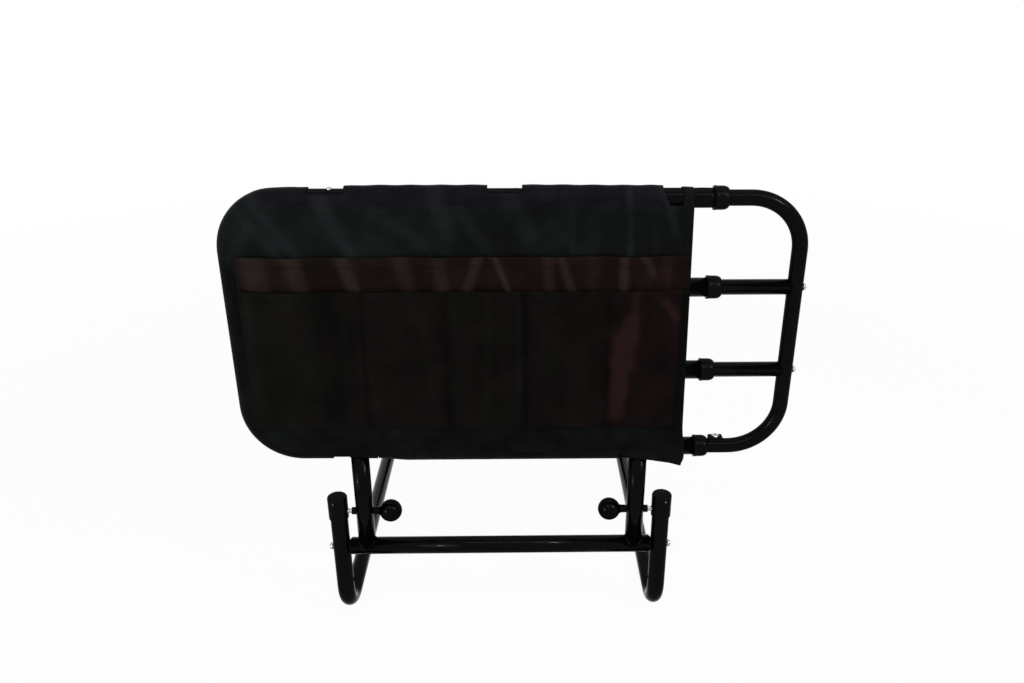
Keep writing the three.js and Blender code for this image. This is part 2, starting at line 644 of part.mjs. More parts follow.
function railFrame() {
  const group = new THREE.Group();
  for (const side of [-1, 1]) {
    const name = sideName(side);
    const barrelPlace = point(side * (POST_X - TUBE_R), 0, LOCK_Z);
    add(group, `post_${name}`, post(side), MATERIALS.paint);
    add(group, `lock_barrel_${name}`, barrel(side), MATERIALS.plastic, barrelPlace);
    add(group, `lock_spring_${name}`, lockSpring(side), MATERIALS.spring, barrelPlace);
    add(group, `lock_pin_${name}`, lockPin(side), MATERIALS.zinc, barrelPlace);
    add(group, `lock_knob_${name}`, lockKnob(side), MATERIALS.knob, barrelPlace);
  }
  const hingeBarEnd = STUB_X - TUBE_R - 2 * SEAT_GAP - PIVOT_WASHER_THICKNESS;
  add(group, "hinge_crossbar", barX(-hingeBarEnd, hingeBarEnd, 0, ...FRAME_TUBE), MATERIALS.paint);
  add(group, "fixed_loop_tube", fixedLoop(), MATERIALS.paint);
  const linkNames = ["post_link_low", "post_link_middle", "post_link_high"];
  linkNames.forEach((name, i) =>
    add(group, name, upright(POST_X, RAIL_Z[i], RAIL_Z[i + 1]), MATERIALS.paint));
  add(group, "fixed_rail_low", fixedRail(RAIL_Z[1]), MATERIALS.paint);
  add(group, "fixed_rail_high", fixedRail(RAIL_Z[2]), MATERIALS.paint);
  RAIL_Z.forEach((z, i) =>
    add(group, `collar_${i + 1}`, collar(), MATERIALS.plastic, point(FIXED_END_X, 0, z)));
  add(group, "pouch_cover", pouchCover(), MATERIALS.cloth);
  const rearBackY = -COVER_R - SEAT_GAP;
  const rearPocket = pocket(rearBackY, TOP_Z - REAR_POCKET_DROP, []);
  add(group, "pouch_rear_pocket", rearPocket, MATERIALS.cloth);
  const frontBackY = rearBackY - POCKET_DEPTH - CLOTH - SEAT_GAP;
  const frontPocket = pocket(frontBackY, TOP_Z - FRONT_POCKET_DROP, POCKET_DIVIDER_SHARES);
  add(group, "pouch_front_pocket", frontPocket, MATERIALS.cloth);
  return group;
}

/** The sliding loop: top tube, end upright and lowest tube in one bent length. */
function slidingLoop() {
  const corners = [point(INNER_TAIL_X, 0, TOP_Z), point(END_X, 0, TOP_Z),
    point(END_X, 0, BOTTOM_Z), point(INNER_TAIL_X, 0, BOTTOM_Z)];
  const boltHole = (z) => barX(END_X - INNER_R - CUT_OVERRUN, END_X + INNER_R + CUT_OVERRUN, z,
    RAIL_BOLT_SHANK_R + SCREW_HOLE_GAP, 0, SMALL_SIDES);
  return cut(bar(corners, INNER_R, INNER_BORE_R, TUBE_SIDES, CORNER_R), [
    barZ(BUTTON_X, TOP_Z, TOP_Z + TUBE_D, buttonHoleR, 0, SMALL_SIDES),
    boltHole(RAIL_Z[1]), boltHole(RAIL_Z[2]),
    barZ(STOP_X, BOTTOM_Z, BOTTOM_Z + TUBE_D, STOP_SCREW_SHANK_R + SCREW_HOLE_GAP, 0, SMALL_SIDES),
  ]);
}

/** A sliding middle rail, shaped to the end upright. */
function slidingRail(z) {
  const upright = bar([point(END_X, 0, z - TUBE_D), point(END_X, 0, z + TUBE_D)], INNER_R + SEAT_GAP);
  return cut(barX(INNER_TAIL_X, END_X, z, INNER_R, INNER_BORE_R), [upright]);
}

/** The bolt through the end upright, and the threaded insert in the middle rail that it ends in. */
function railFastener(group, name, z) {
  const headX = END_X + INNER_R + SEAT_GAP;
  const insertX = END_X - INNER_R - SEAT_GAP - INSERT_LENGTH;
  const shank = headX - insertX - INSERT_LENGTH + RAIL_BOLT_GRIP;
  const profile = screw(RAIL_BOLT_HEAD_R, RAIL_BOLT_HEAD_HEIGHT, RAIL_BOLT_SHANK_R, shank);
  add(group, `rail_bolt_${name}`, turnedX(profile, 1, SMALL_SIDES), MATERIALS.zinc, point(headX, 0, z));
  const boreR = RAIL_BOLT_SHANK_R + SEAT_GAP;
  const outerR = INNER_BORE_R - SEAT_GAP;
  const insert = turnedX(closedProfile(
    [[boreR, 0], [outerR, 0], [outerR, INSERT_LENGTH], [boreR, INSERT_LENGTH]]), 1);
  add(group, `rail_insert_${name}`, insert, MATERIALS.zinc, point(insertX, 0, z));
}

/** The snap button: a domed pin with a flange that stays inside the tube. */
function snapButton() {
  const top = TUBE_R + BUTTON_PROUD;
  const domeHeight = BUTTON_R / 2;
  const flangeTop = BUTTON_FLANGE_Z + BUTTON_FLANGE;
  return turned([[0, BUTTON_FLANGE_Z], [BUTTON_FLANGE_R, BUTTON_FLANGE_Z], [BUTTON_FLANGE_R, flangeTop],
    [BUTTON_R, flangeTop], ...dome(BUTTON_R, top - domeHeight, domeHeight, EDGE_STEPS)], SMALL_SIDES);
}

/** The leaf spring that holds the button up: a V of spring strip inside the tube. */
function leafSpring() {
  const high = BUTTON_FLANGE_Z - SEAT_GAP;
  const low = SEAT_GAP - Math.sqrt(INNER_BORE_R ** 2 - LEAF_HALF_WIDTH ** 2);
  const right = BUTTON_R + LEAF_PAST_BUTTON - LEAF_THICKNESS;
  const fold = -LEAF_LENGTH;
  const outline = new THREE.Shape([
    new THREE.Vector2(right, high), new THREE.Vector2(fold, (high + low + LEAF_THICKNESS) / 2),
    new THREE.Vector2(fold, (high + low - LEAF_THICKNESS) / 2), new THREE.Vector2(right, low),
    new THREE.Vector2(right, low + LEAF_THICKNESS),
    new THREE.Vector2(fold + 2 * LEAF_THICKNESS, (high + low) / 2),
    new THREE.Vector2(right, high - LEAF_THICKNESS),
  ]);
  return new THREE.ExtrudeGeometry(outline, { depth: 2 * LEAF_HALF_WIDTH, bevelEnabled: false })
    .rotateX(Math.PI / 2).translate(0, LEAF_HALF_WIDTH, 0);
}

/** The stop block that keeps the collar and the end tube apart, shaped to the tube below it. */
function stopBlock() {
  const body = block(point(STOP_X - STOP_LENGTH / 2, -STOP_HALF_WIDTH, BOTTOM_Z),
    point(STOP_X + STOP_LENGTH / 2, STOP_HALF_WIDTH, BOTTOM_Z + INNER_R + STOP_HEIGHT));
  const tube = barX(STOP_X - STOP_LENGTH, STOP_X + STOP_LENGTH, BOTTOM_Z, INNER_R + SEAT_GAP);
  const hole = barZ(STOP_X, BOTTOM_Z, BOTTOM_Z + TUBE_D, STOP_SCREW_SHANK_R + SCREW_HOLE_GAP, 0, SMALL_SIDES);
  return cut(body, [tube, hole]);
}

function extension() {
  const group = new THREE.Group();
  add(group, "sliding_loop_tube", slidingLoop(), MATERIALS.paint);
  add(group, "sliding_rail_low", slidingRail(RAIL_Z[1]), MATERIALS.paint);
  add(group, "sliding_rail_high", slidingRail(RAIL_Z[2]), MATERIALS.paint);
  railFastener(group, "low", RAIL_Z[1]);
  railFastener(group, "high", RAIL_Z[2]);
  const glideR = (INNER_R + BORE_R) / 2;
  const glide = plug(glideR, PLUG_FLANGE, INNER_BORE_R - SEAT_GAP, GLIDE_DEPTH).rotateY(-Math.PI / 2);
  RAIL_Z.forEach((z, i) =>
    add(group, `glide_plug_${i + 1}`, glide, MATERIALS.plastic, point(INNER_TAIL_X - SEAT_GAP, 0, z)));
  add(group, "button_spring", leafSpring(), MATERIALS.spring, point(BUTTON_X, 0, TOP_Z));
  add(group, "snap_button", snapButton(), MATERIALS.zinc, point(BUTTON_X, 0, TOP_Z));
  add(group, "stop_block", stopBlock(), MATERIALS.plastic);
  const stopScrew = turned(screw(STOP_SCREW_HEAD_R, STOP_SCREW_HEAD_HEIGHT, STOP_SCREW_SHANK_R,
    STOP_HEIGHT + INNER_WALL), SMALL_SIDES);
  add(group, "stop_screw", stopScrew, MATERIALS.zinc,
    point(STOP_X, 0, BOTTOM_Z + INNER_R + STOP_HEIGHT + SEAT_GAP));
  return group;
}

const panel = railFrame();
panel.add(extension());
panel.position.z = HINGE_Z;

const guardRail = new THREE.Group();
guardRail.add(base(), panel);

// The origin is the middle of the object's box, on the floor
const box = new THREE.Box3().setFromObject(guardRail);
const middle = box.getCenter(new THREE.Vector3());
guardRail.position.set(-middle.x, -middle.y, -box.min.z);

export default guardRail;
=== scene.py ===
import math

import bmesh
import bpy
import numpy as np
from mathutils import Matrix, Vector


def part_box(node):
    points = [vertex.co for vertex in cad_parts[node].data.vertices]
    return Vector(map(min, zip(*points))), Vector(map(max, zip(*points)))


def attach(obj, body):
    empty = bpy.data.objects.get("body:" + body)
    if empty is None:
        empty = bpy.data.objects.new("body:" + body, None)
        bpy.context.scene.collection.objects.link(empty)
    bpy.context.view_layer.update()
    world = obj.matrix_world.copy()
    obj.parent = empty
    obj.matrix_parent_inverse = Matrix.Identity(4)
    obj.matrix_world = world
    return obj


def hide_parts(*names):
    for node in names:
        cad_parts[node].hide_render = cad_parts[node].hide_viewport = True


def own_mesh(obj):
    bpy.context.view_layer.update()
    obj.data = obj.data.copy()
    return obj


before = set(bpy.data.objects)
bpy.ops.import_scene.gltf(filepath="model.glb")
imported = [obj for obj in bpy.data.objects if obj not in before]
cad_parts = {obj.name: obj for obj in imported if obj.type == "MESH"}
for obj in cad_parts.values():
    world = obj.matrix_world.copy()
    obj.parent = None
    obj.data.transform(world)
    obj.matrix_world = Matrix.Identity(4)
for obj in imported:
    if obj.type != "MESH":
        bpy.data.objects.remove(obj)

bl_info = {
    "name": "Folding bed guard rail",
    "version": (1, 0, 0),
    "blender": (4, 5, 0),
    "location": "View3D > Sidebar > Guard Rail",
    "description": "Builds the looks of a telescoping bed rail with a cloth organizer round its packed frame",
    "category": "Object",
}

MM = 0.001
TURN = 2 * math.pi
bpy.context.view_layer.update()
X, Y, Z = np.eye(3)
SIDES = ((-1, "left"), (1, "right"))


# Places of the frame: millimetres from the middle of the posts (x), the panel's plane (y) and the floor (z)

def span(node):
    """Lowest and highest corner of a CAD node, in millimetres of the row frame."""
    low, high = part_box(node)
    return np.array(low) / MM, np.array(high) / MM


def middle(node):
    low, high = span(node)
    return (low + high) / 2


CENTRE_X, PANEL_Y, HINGE_Z = middle("hinge_crossbar")
ORIGIN = np.array([CENTRE_X, PANEL_Y, 0.0])


def ends(node, axis):
    """A CAD node's lowest and highest place along an axis, from 0 for x to 2 for z."""
    low, high = span(node)
    return (low - ORIGIN)[axis], (high - ORIGIN)[axis]


STUB_X = middle("arm_right")[0] - CENTRE_X
STUB_TOP = ends("arm_right", 2)[1]
ARM_Z = middle("arm_plug_right")[2]
ARM_BACK = ends("arm_right", 1)[1]
ARM_PLUG_BACK = ends("arm_plug_right", 1)[1]
REAR_BAR_Y = middle("rear_crossbar")[1] - PANEL_Y
CAP_LOW, CAP_TOP = ends("stub_cap_right", 2)
CAP_SCREW_Z = middle("cap_screw_right")[2]
WASHER_IN, WASHER_OUT = ends("pivot_washer_right", 0)
NUT_IN, NUT_OUT = ends("pivot_nut_right", 0)

POST_X = middle("post_right")[0] - CENTRE_X
BAR_END = ends("hinge_crossbar", 0)[1]
RAIL_Z = [middle(f"collar_{i}")[2] for i in range(1, 5)]
LOW_Z, TOP_Z = RAIL_Z[0], RAIL_Z[-1]
LOOP_FAR_LEFT, FIXED_END = ends("fixed_loop_tube", 0)
COLLAR_LEFT, COLLAR_RIGHT = ends("collar_1", 0)

LOCK_Z = middle("lock_pin_right")[2]
PIN_STEM_END, PIN_TIP = ends("lock_pin_right", 0)
BARREL_IN, BARREL_OUT = ends("lock_barrel_right", 0)
SPRING_IN, SPRING_OUT = ends("lock_spring_right", 0)
KNOB_FAR, KNOB_NECK = ends("lock_knob_right", 0)
KNOB_R = ends("lock_knob_right", 2)[1] - LOCK_Z

SLIDE_TAIL, LOOP_FAR_RIGHT = ends("sliding_loop_tube", 0)
INSERT_IN, INSERT_OUT = ends("rail_insert_low", 0)
GLIDE_IN = ends("glide_plug_1", 0)[0]
BUTTON_X = middle("snap_button")[0] - CENTRE_X
BUTTON_TOP = ends("snap_button", 2)[1]
HOLE_PITCH = 203.2
STOP_LEFT, STOP_RIGHT = ends("stop_block", 0)
STOP_TOP = ends("stop_block", 2)[1]
STOP_SCREW_TOP = ends("stop_screw", 2)[1]

COVER_RIGHT = ends("pouch_cover", 0)[1]
POCKET_LEFT, POCKET_RIGHT = ends("pouch_rear_pocket", 0)
POCKET_LOW, REAR_TOP = ends("pouch_rear_pocket", 2)
FRONT_TOP = ends("pouch_front_pocket", 2)[1]


# Surfaces: every grid holds points in rows and columns, whose cells face outwards

class Grid:
    """Rows and columns of points. Columns may close on themselves, and rows too. keep is False where a cell
    is left out, flat holds each point's place on the flat cut, and marks hold named values of the points."""

    def __init__(self, points, wrap=False, wrap_rows=False, keep=None, flat=None, marks=None):
        self.points = points
        self.wrap = wrap
        self.wrap_rows = wrap_rows
        rows, columns = points.shape[:2]
        shape = (rows if wrap_rows else rows - 1, columns if wrap else columns - 1)
        self.keep = np.ones(shape, bool) if keep is None else keep
        self.flat = flat
        self.marks = marks or {}

    def faces(self):
        """Cell (i, j) joins points (i, j), (i, j + 1), (i + 1, j + 1) and (i + 1, j)."""
        rows, columns = self.points.shape[:2]
        i, j = np.nonzero(self.keep)
        below, beside = (i + 1) % rows, (j + 1) % columns
        return np.stack([i * columns + j, i * columns + beside,
                         below * columns + beside, below * columns + j], -1)


def unit(v):
    v = np.asarray(v, float)
    return v / np.linalg.norm(v, axis=-1, keepdims=True)


def rings(centres, ways, up, radii, sides):
    """Point (i, j) is centre_i + r_i (cos a * up + sin a * (way_i x up)), with a = TURN * j / sides."""
    centres = np.asarray(centres, float)
    ways = np.broadcast_to(ways, centres.shape)
    ups = np.broadcast_to(up, centres.shape)
    radii = np.broadcast_to(radii, len(centres))[:, None, None]
    angle = np.linspace(0, TURN, sides, endpoint=False)[None, :, None]
    beside = np.cross(ways, ups)
    return centres[:, None] + radii * (np.cos(angle) * ups[:, None] + np.sin(angle) * beside[:, None])


def bent_line(corners, bend_r, extra=(), step=TURN / 72):
    """Stations of a bent tube: straight runs, and in each bend start + r (sin a * into + (1 - cos a) *
    inward). extra holds distances along the first run where stations are added."""
    corners = np.array(corners, float)
    headings = unit(np.diff(corners, axis=0))
    extra = np.sort(np.asarray(extra, float))[:, None]
    centres = [corners[:1], corners[0] + extra * headings[0]]
    ways = [headings[:1], np.repeat(headings[:1], len(extra), 0)]
    for i in range(1, len(corners) - 1):
        into, out = headings[i - 1], headings[i]
        angle = math.acos(into @ out)
        inward = unit(out - into * (into @ out))
        start = corners[i] - into * bend_r * math.tan(angle / 2)
        a = np.linspace(0, angle, max(round(angle / step), 1) + 1)[:, None]
        centres.append(start + bend_r * (np.sin(a) * into + (1 - np.cos(a)) * inward))
        ways.append(np.cos(a) * into + np.sin(a) * inward)
    centres.append(corners[-1:])
    ways.append(headings[-1:])
    return np.concatenate(centres), np.concatenate(ways)


def pipe(corners, radius, up, bend_r=0.0, sides=48):
    """The outer surface of a bent tube, open at both ends, for a Solidify wall."""
    centres, ways = bent_line(corners, bend_r)
    return Grid(rings(centres, ways, up, radius, sides), wrap=True)


# Rings of cells round a hole: the one that is drawn onto the circle, and the last one that moves
HOLE_RIM = 3
HOLE_REACH = 7
HOLE_ROWS = 2 * HOLE_REACH + 1


def hole_stations(distance, radius, sides):
    """Distances of the rings round a hole, a cell's width apart, so that its cells are square."""
    return distance + np.arange(-HOLE_REACH, HOLE_REACH + 1) * TURN * radius / sides


def open_holes(grid, distances, column, radius, hole_r):
    """Opens a hole at each of the distances whose stations follow the tube's first one."""
    for number in range(len(distances)):
        open_hole(grid, 1 + HOLE_REACH + number * HOLE_ROWS, column, radius, hole_r)


def open_hole(grid, row, column, radius, hole_r):
    """Opens a round hole in a straight stretch. Cells lie in square rings round the hole: the ring HOLE_RIM
    is drawn onto the circle, the rings outside it go back to squares by HOLE_REACH, and those inside are left
    out."""
    columns = grid.points.shape[1]
    offset = np.arange(-HOLE_REACH, HOLE_REACH + 1)
    i, j = np.meshgrid(offset, offset, indexing="ij")
    centre = grid.points[row].mean(0)
    along = unit(grid.points[row + 1].mean(0) - centre)
    out = unit(grid.points[row, column] - centre)
    across = np.cross(along, out)
    pitch = TURN * radius / columns
    ring = np.maximum(abs(i), abs(j))
    share = np.clip((ring - HOLE_RIM) / (HOLE_REACH - HOLE_RIM), 0, 1)
    length = np.maximum(np.hypot(i, j) * pitch, pitch)
    scale = (1 - share) * hole_r / length + share
    s, a = i * pitch * scale, j * pitch * scale / radius
    moved = centre + s[..., None] * along + radius * (
        np.cos(a)[..., None] * out + np.sin(a)[..., None] * across)
    grid.points[row + i, (column + j) % columns] = moved
    inner = np.arange(-HOLE_RIM, HOLE_RIM)
    grid.keep[np.ix_(row + inner, (column + inner) % columns)] = False


def soft(profile, radius, steps=4):
    """Rounds a profile's inner corners. Each becomes (1-t)^2 a + 2t(1-t) corner + t^2 b, with a and b on its
    two edges, radius away or at most half an edge away."""
    profile = np.array(profile, float)
    t = np.linspace(0, 1, steps + 1)[:, None]
    out = [profile[:1]]
    for before, corner, after in zip(profile[:-2], profile[1:-1], profile[2:]):
        to_a, to_b = before - corner, after - corner
        len_a, len_b = np.linalg.norm(to_a), np.linalg.norm(to_b)
        a = corner + to_a * min(radius / len_a, 0.5)
        b = corner + to_b * min(radius / len_b, 0.5)
        out.append((1 - t) ** 2 * a + 2 * t * (1 - t) * corner + t ** 2 * b)
    out.append(profile[-1:])
    return np.concatenate(out)


def turned(profile, centre, way, up, sides=48):
    """A turned surface: a profile point (radius, height) goes round the line from centre along way."""
    profile = np.array(profile, float)
    return Grid(rings(np.asarray(centre) + profile[:, 1:] * way, way, up, profile[:, 0], sides), wrap=True)


def ring_of(profile):
    """A profile that ends where it starts, for a turned ring."""
    return np.concatenate([profile, profile[:1]])


def shank(radius, start, place, way, up, sides=20, into=0.1):
    """The plain shank of a screw, from start, under its head, up into the head."""
    return turned([[0, start], [radius, start], [radius, into], [0, into]], place, way, up, sides)


def dome(radius, rim, height, steps=6):
    """Profile of a dome: (radius cos a, rim + height sin a), from its rim to the pole."""
    a = np.linspace(0, math.pi / 2, steps + 1)
    return np.stack([radius * np.cos(a) * (a < a[-1]), rim + height * np.sin(a)], -1)


def weld(meet, way, along, radius, bead):
    """A bead where a tube of the given radius leaves another one like it. At the angle a its line lies
    radius (cos a * along + sin a * across) off the joined tube's axis, and sqrt(radius^2 - (radius sin a)^2)
    out along it; the bead's own radius ripples as the filler was laid in drops."""
    drops, drop_share = 30, 0.09
    a = np.linspace(0, TURN, 120, endpoint=False)[:, None]
    b = np.linspace(0, TURN, 10, endpoint=False)[None, :, None]
    across = np.cross(way, along)
    reach = np.sqrt(np.maximum(radius ** 2 - (radius * np.sin(a)) ** 2, 0))
    away = np.cos(a) * along + np.sin(a) * across
    line = np.asarray(meet) + reach * way + radius * away
    bead_r = (bead * (1 + drop_share * np.cos(drops * a)))[:, None]
    points = line[:, None] + bead_r * (np.cos(b) * away[:, None] + np.sin(b) * np.asarray(way))
    return Grid(points, wrap=True, wrap_rows=True)


def coil(start, end, mean_r, wire_r, curls, steps=20, sides=8):
    """A coil spring about X: centre (x0 + (x1 - x0) s, r cos a, r sin a), with a = TURN * curls * s."""
    s = np.linspace(0, 1, curls * steps + 1)
    a = TURN * curls * s
    out = np.stack([0 * a, np.cos(a), np.sin(a)], -1)
    centres = np.asarray(start) + s[:, None] * (np.asarray(end) - start) + mean_r * out
    ways = unit(np.gradient(centres, axis=0))
    ups = unit(out - ways * (out * ways).sum(-1, keepdims=True))
    radii = np.full(len(s), wire_r)
    radii[[0, -1]] = 0
    return Grid(rings(centres, ways, ups, radii, sides), wrap=True)


# Pieces

# Every material by its name here: that of a material slot, or another one for a piece that says so
finishes = {}


def put_in_scene(name, data):
    holder = bpy.data.objects.new(name, data)
    bpy.context.scene.collection.objects.link(holder)
    return holder


def make_piece(name, body, slot, grids, node=None, finish=None, wall=0.0, crease=35.0, closed=True):
    """Puts grids into one mesh, in metres of the row frame, and hands the piece to its body. It stands for
    the CAD node, if one is given. Its finish is the slot's unless another is named, and its wall grows
    inwards. Its faces are turned outwards unless closed is False, and its edges are sharp from the crease
    angle on."""
    counts = np.cumsum([0] + [grid.points[..., 0].size for grid in grids])
    points = np.concatenate([grid.points.reshape(-1, 3) for grid in grids])
    faces = np.concatenate([grid.faces() + count for grid, count in zip(grids, counts)])
    used, faces = np.unique(faces, return_inverse=True)
    faces = faces.reshape(-1, 4)
    mesh = bpy.data.meshes.new(name)
    mesh.from_pydata(((points[used] + ORIGIN) * MM).tolist(), [], faces.tolist())
    if grids[0].flat is not None:
        flat = np.concatenate([grid.flat.reshape(-1, 2) for grid in grids])
        layer = mesh.uv_layers.new(name="Flat")
        layer.data.foreach_set("uv", (flat[used][faces.ravel()] * MM).ravel())
    for key in sorted({key for grid in grids for key in grid.marks}):
        values = np.concatenate([grid.marks.get(key, 0 * grid.points[..., 0]).ravel() for grid in grids])
        layer = mesh.attributes.new(key, "FLOAT", "POINT")
        layer.data.foreach_set("value", values[used].astype(np.float32))
    work = bmesh.new()
    work.from_mesh(mesh)
    bmesh.ops.remove_doubles(work, verts=work.verts, dist=1e-6)
    bmesh.ops.dissolve_degenerate(work, dist=1e-7, edges=work.edges)
    if closed:
        bmesh.ops.recalc_face_normals(work, faces=work.faces)
    work.to_mesh(mesh)
    work.free()
    mesh.polygons.foreach_set("use_smooth", np.ones(len(mesh.polygons), bool))
    mesh.set_sharp_from_angle(angle=math.radians(crease))
    mesh.materials.append(finishes[finish or slot])
    piece = put_in_scene(name, mesh)
    if wall:
        solid = piece.modifiers.new("Wall", "SOLIDIFY")
        solid.thickness = wall * MM
        solid.offset = -1
        solid.use_even_offset = True
    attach(piece, body)
    if node:
        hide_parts(node)
    return piece


# Node helpers and the shader groups that several materials share

def add_node(tree, kind, settings=None, **inputs):
    """Adds a node; a value goes to the input of that name, and a socket is linked to it."""
    node = tree.nodes.new(kind)
    for key, value in (settings or {}).items():
        setattr(node, key, value)
    for key, value in inputs.items():
        socket = node.inputs[int(key[1:])] if key[1:].isdigit() else node.inputs[key.replace("_", " ")]
        if isinstance(value, bpy.types.NodeSocket):
            tree.links.new(value, socket)
        else:
            socket.default_value = value
    return node


def math_node(tree, operation, *values, clamp=False):
    inputs = {f"i{i}": value for i, value in enumerate(values)}
    return add_node(tree, "ShaderNodeMath", {"operation": operation, "use_clamp": clamp}, **inputs).outputs[0]


def noise_node(tree, place, scale, detail, roughness=0.5):
    return add_node(tree, "ShaderNodeTexNoise", Vector=place, Scale=scale, Detail=detail,
                    Roughness=roughness).outputs["Fac"]


def blend_node(tree, share, low, high, mode="MIX"):
    """Two colours mixed by a share."""
    return add_node(tree, "ShaderNodeMix", {"data_type": "RGBA", "blend_type": mode}, i0=share, i6=low,
                    i7=high).outputs[2]


def new_material(name):
    """A node material, its tree and its shader."""
    material = bpy.data.materials.new(name)
    material.use_nodes = True
    return material, material.node_tree, material.node_tree.nodes["Principled BSDF"]


def set_inputs(shader, **values):
    for key, value in values.items():
        shader.inputs[key.replace("_", " ")].default_value = value


def new_group(name, inputs, outputs):
    """A shader node group with float and vector inputs and float outputs."""
    tree = bpy.data.node_groups.new(name, "ShaderNodeTree")
    for key, kind, value in inputs:
        socket = tree.interface.new_socket(key, in_out="INPUT", socket_type=kind)
        if value is not None:
            socket.default_value = value
    for key in outputs:
        tree.interface.new_socket(key, in_out="OUTPUT", socket_type="NodeSocketFloat")
    return tree, tree.nodes.new("NodeGroupInput").outputs, tree.nodes.new("NodeGroupOutput").inputs


def grain_group():
    """Fine moulded or sprayed grain: two sizes of noise, mixed by Coarse."""
    tree, given, made = new_group("Grain", [
        ("Vector", "NodeSocketVector", None), ("Scale", "NodeSocketFloat", 800.0),
        ("Coarse", "NodeSocketFloat", 0.3)], ["Height", "Mottling"])
    fine = noise_node(tree, given["Vector"], given["Scale"], 3.0)
    broad = noise_node(tree, given["Vector"], math_node(tree, "MULTIPLY", given["Scale"], 0.06), 4.0)
    mixed = add_node(tree, "ShaderNodeMix", {"data_type": "FLOAT"}, Factor=given["Coarse"], A=fine, B=broad)
    tree.links.new(mixed.outputs[0], made["Height"])
    tree.links.new(broad, made["Mottling"])
    return tree


def dust_group():
    """Dust that settles on what faces up, broken up by noise."""
    tree, given, made = new_group("Dust", [
        ("Vector", "NodeSocketVector", None), ("Amount", "NodeSocketFloat", 0.5)], ["Mask"])
    facing = add_node(tree, "ShaderNodeNewGeometry")
    up = add_node(tree, "ShaderNodeSeparateXYZ", Vector=facing.outputs["Normal"]).outputs["Z"]
    level = add_node(tree, "ShaderNodeMapRange", Value=up, From_Min=0.35, From_Max=1.0)
    noise = noise_node(tree, given["Vector"], 90.0, 6.0, 0.7)
    broken = add_node(tree, "ShaderNodeMapRange", Value=noise, From_Min=0.42, From_Max=0.75)
    mask = math_node(tree, "MULTIPLY", level.outputs[0], broken.outputs[0])
    tree.links.new(math_node(tree, "MULTIPLY", mask, given["Amount"]), made["Mask"])
    return tree


def weave_group():
    """Plain weave on the flat cut: warp and weft threads as rounded ridges that pass over each other in
    turn."""
    tree, given, made = new_group("Weave", [
        ("Vector", "NodeSocketVector", None), ("Pitch", "NodeSocketFloat", 0.0005)], ["Height", "Slub"])
    parts = add_node(tree, "ShaderNodeSeparateXYZ", Vector=given["Vector"])
    half_turns = math_node(tree, "DIVIDE", math.pi, given["Pitch"])
    warp, weft = (math_node(tree, "SINE", math_node(tree, "MULTIPLY", parts.outputs[key], half_turns))
                  for key in "XY")
    over = math_node(tree, "SIGN", math_node(tree, "MULTIPLY", warp, weft))
    up = math_node(tree, "MULTIPLY_ADD", over, 0.5, 0.5)
    down = math_node(tree, "SUBTRACT", 1.0, up)
    warp_height = math_node(tree, "MULTIPLY", math_node(tree, "ABSOLUTE", warp), up)
    weft_height = math_node(tree, "MULTIPLY", math_node(tree, "ABSOLUTE", weft), down)
    tree.links.new(math_node(tree, "ADD", warp_height, weft_height), made["Height"])
    tree.links.new(noise_node(tree, given["Vector"], 240.0, 4.0), made["Slub"])
    return tree


def group_node(tree, group, **inputs):
    return add_node(tree, "ShaderNodeGroup", {"node_tree": group}, **inputs).outputs


# Hard finishes: material, its colour's name, roughness and its spread, grain per metre, bump, dust, share of
# metal and edge tint
HARD_FINISHES = {
    "tube_paint": ("Black_tube_paint", "paint", 0.1, 0.04, 900.0, 0.05, 0.05, 0.62, 0.5),
    "black_plastic": ("Moulded_black_plastic", "plastic", 0.24, 0.08, 1500.0, 0.1, 0.08, 0.6, 0.5),
    "knob_gloss": ("Polished_black_knob", "knob", 0.06, 0.03, 500.0, 0.02, 0.02, 0.9, 0.5),
    "zinc_steel": ("Bright_zinc_steel", "zinc", 0.24, 0.14, 1100.0, 0.15, 0.0, 1.0, 1.0),
    "cap_screw_steel": ("Blackened_screw_steel", "dark_steel", 0.28, 0.1, 1100.0, 0.15, 0.0, 1.0, 1.0),
    "spring_steel": ("Drawn_spring_wire", "spring", 0.3, 0.12, 2200.0, 0.25, 0.0, 1.0, 1.0),
    "thread": ("Sewing_thread", "thread", 0.6, 0.1, 3000.0, 0.4, 0.0, 0.0, 0.5),
}

# Cloth finishes: material, its colour's name and the tint of its warm places
CLOTH_FINISHES = {
    "cover_nylon": ("Cover_nylon", "cover", (1.12, 0.93, 1.28, 1.0)),
    "pocket_nylon": ("Pocket_nylon", "pocket", (1.85, 0.86, 1.12, 1.0)),
    "rear_pocket": ("Rear_pocket_nylon", "band", (1.15, 0.8, 0.85, 1.0)),
}


def tinted(colour, gain, lift=0.0):
    return (*[min(part * gain + lift, 1) for part in colour[:3]], 1)


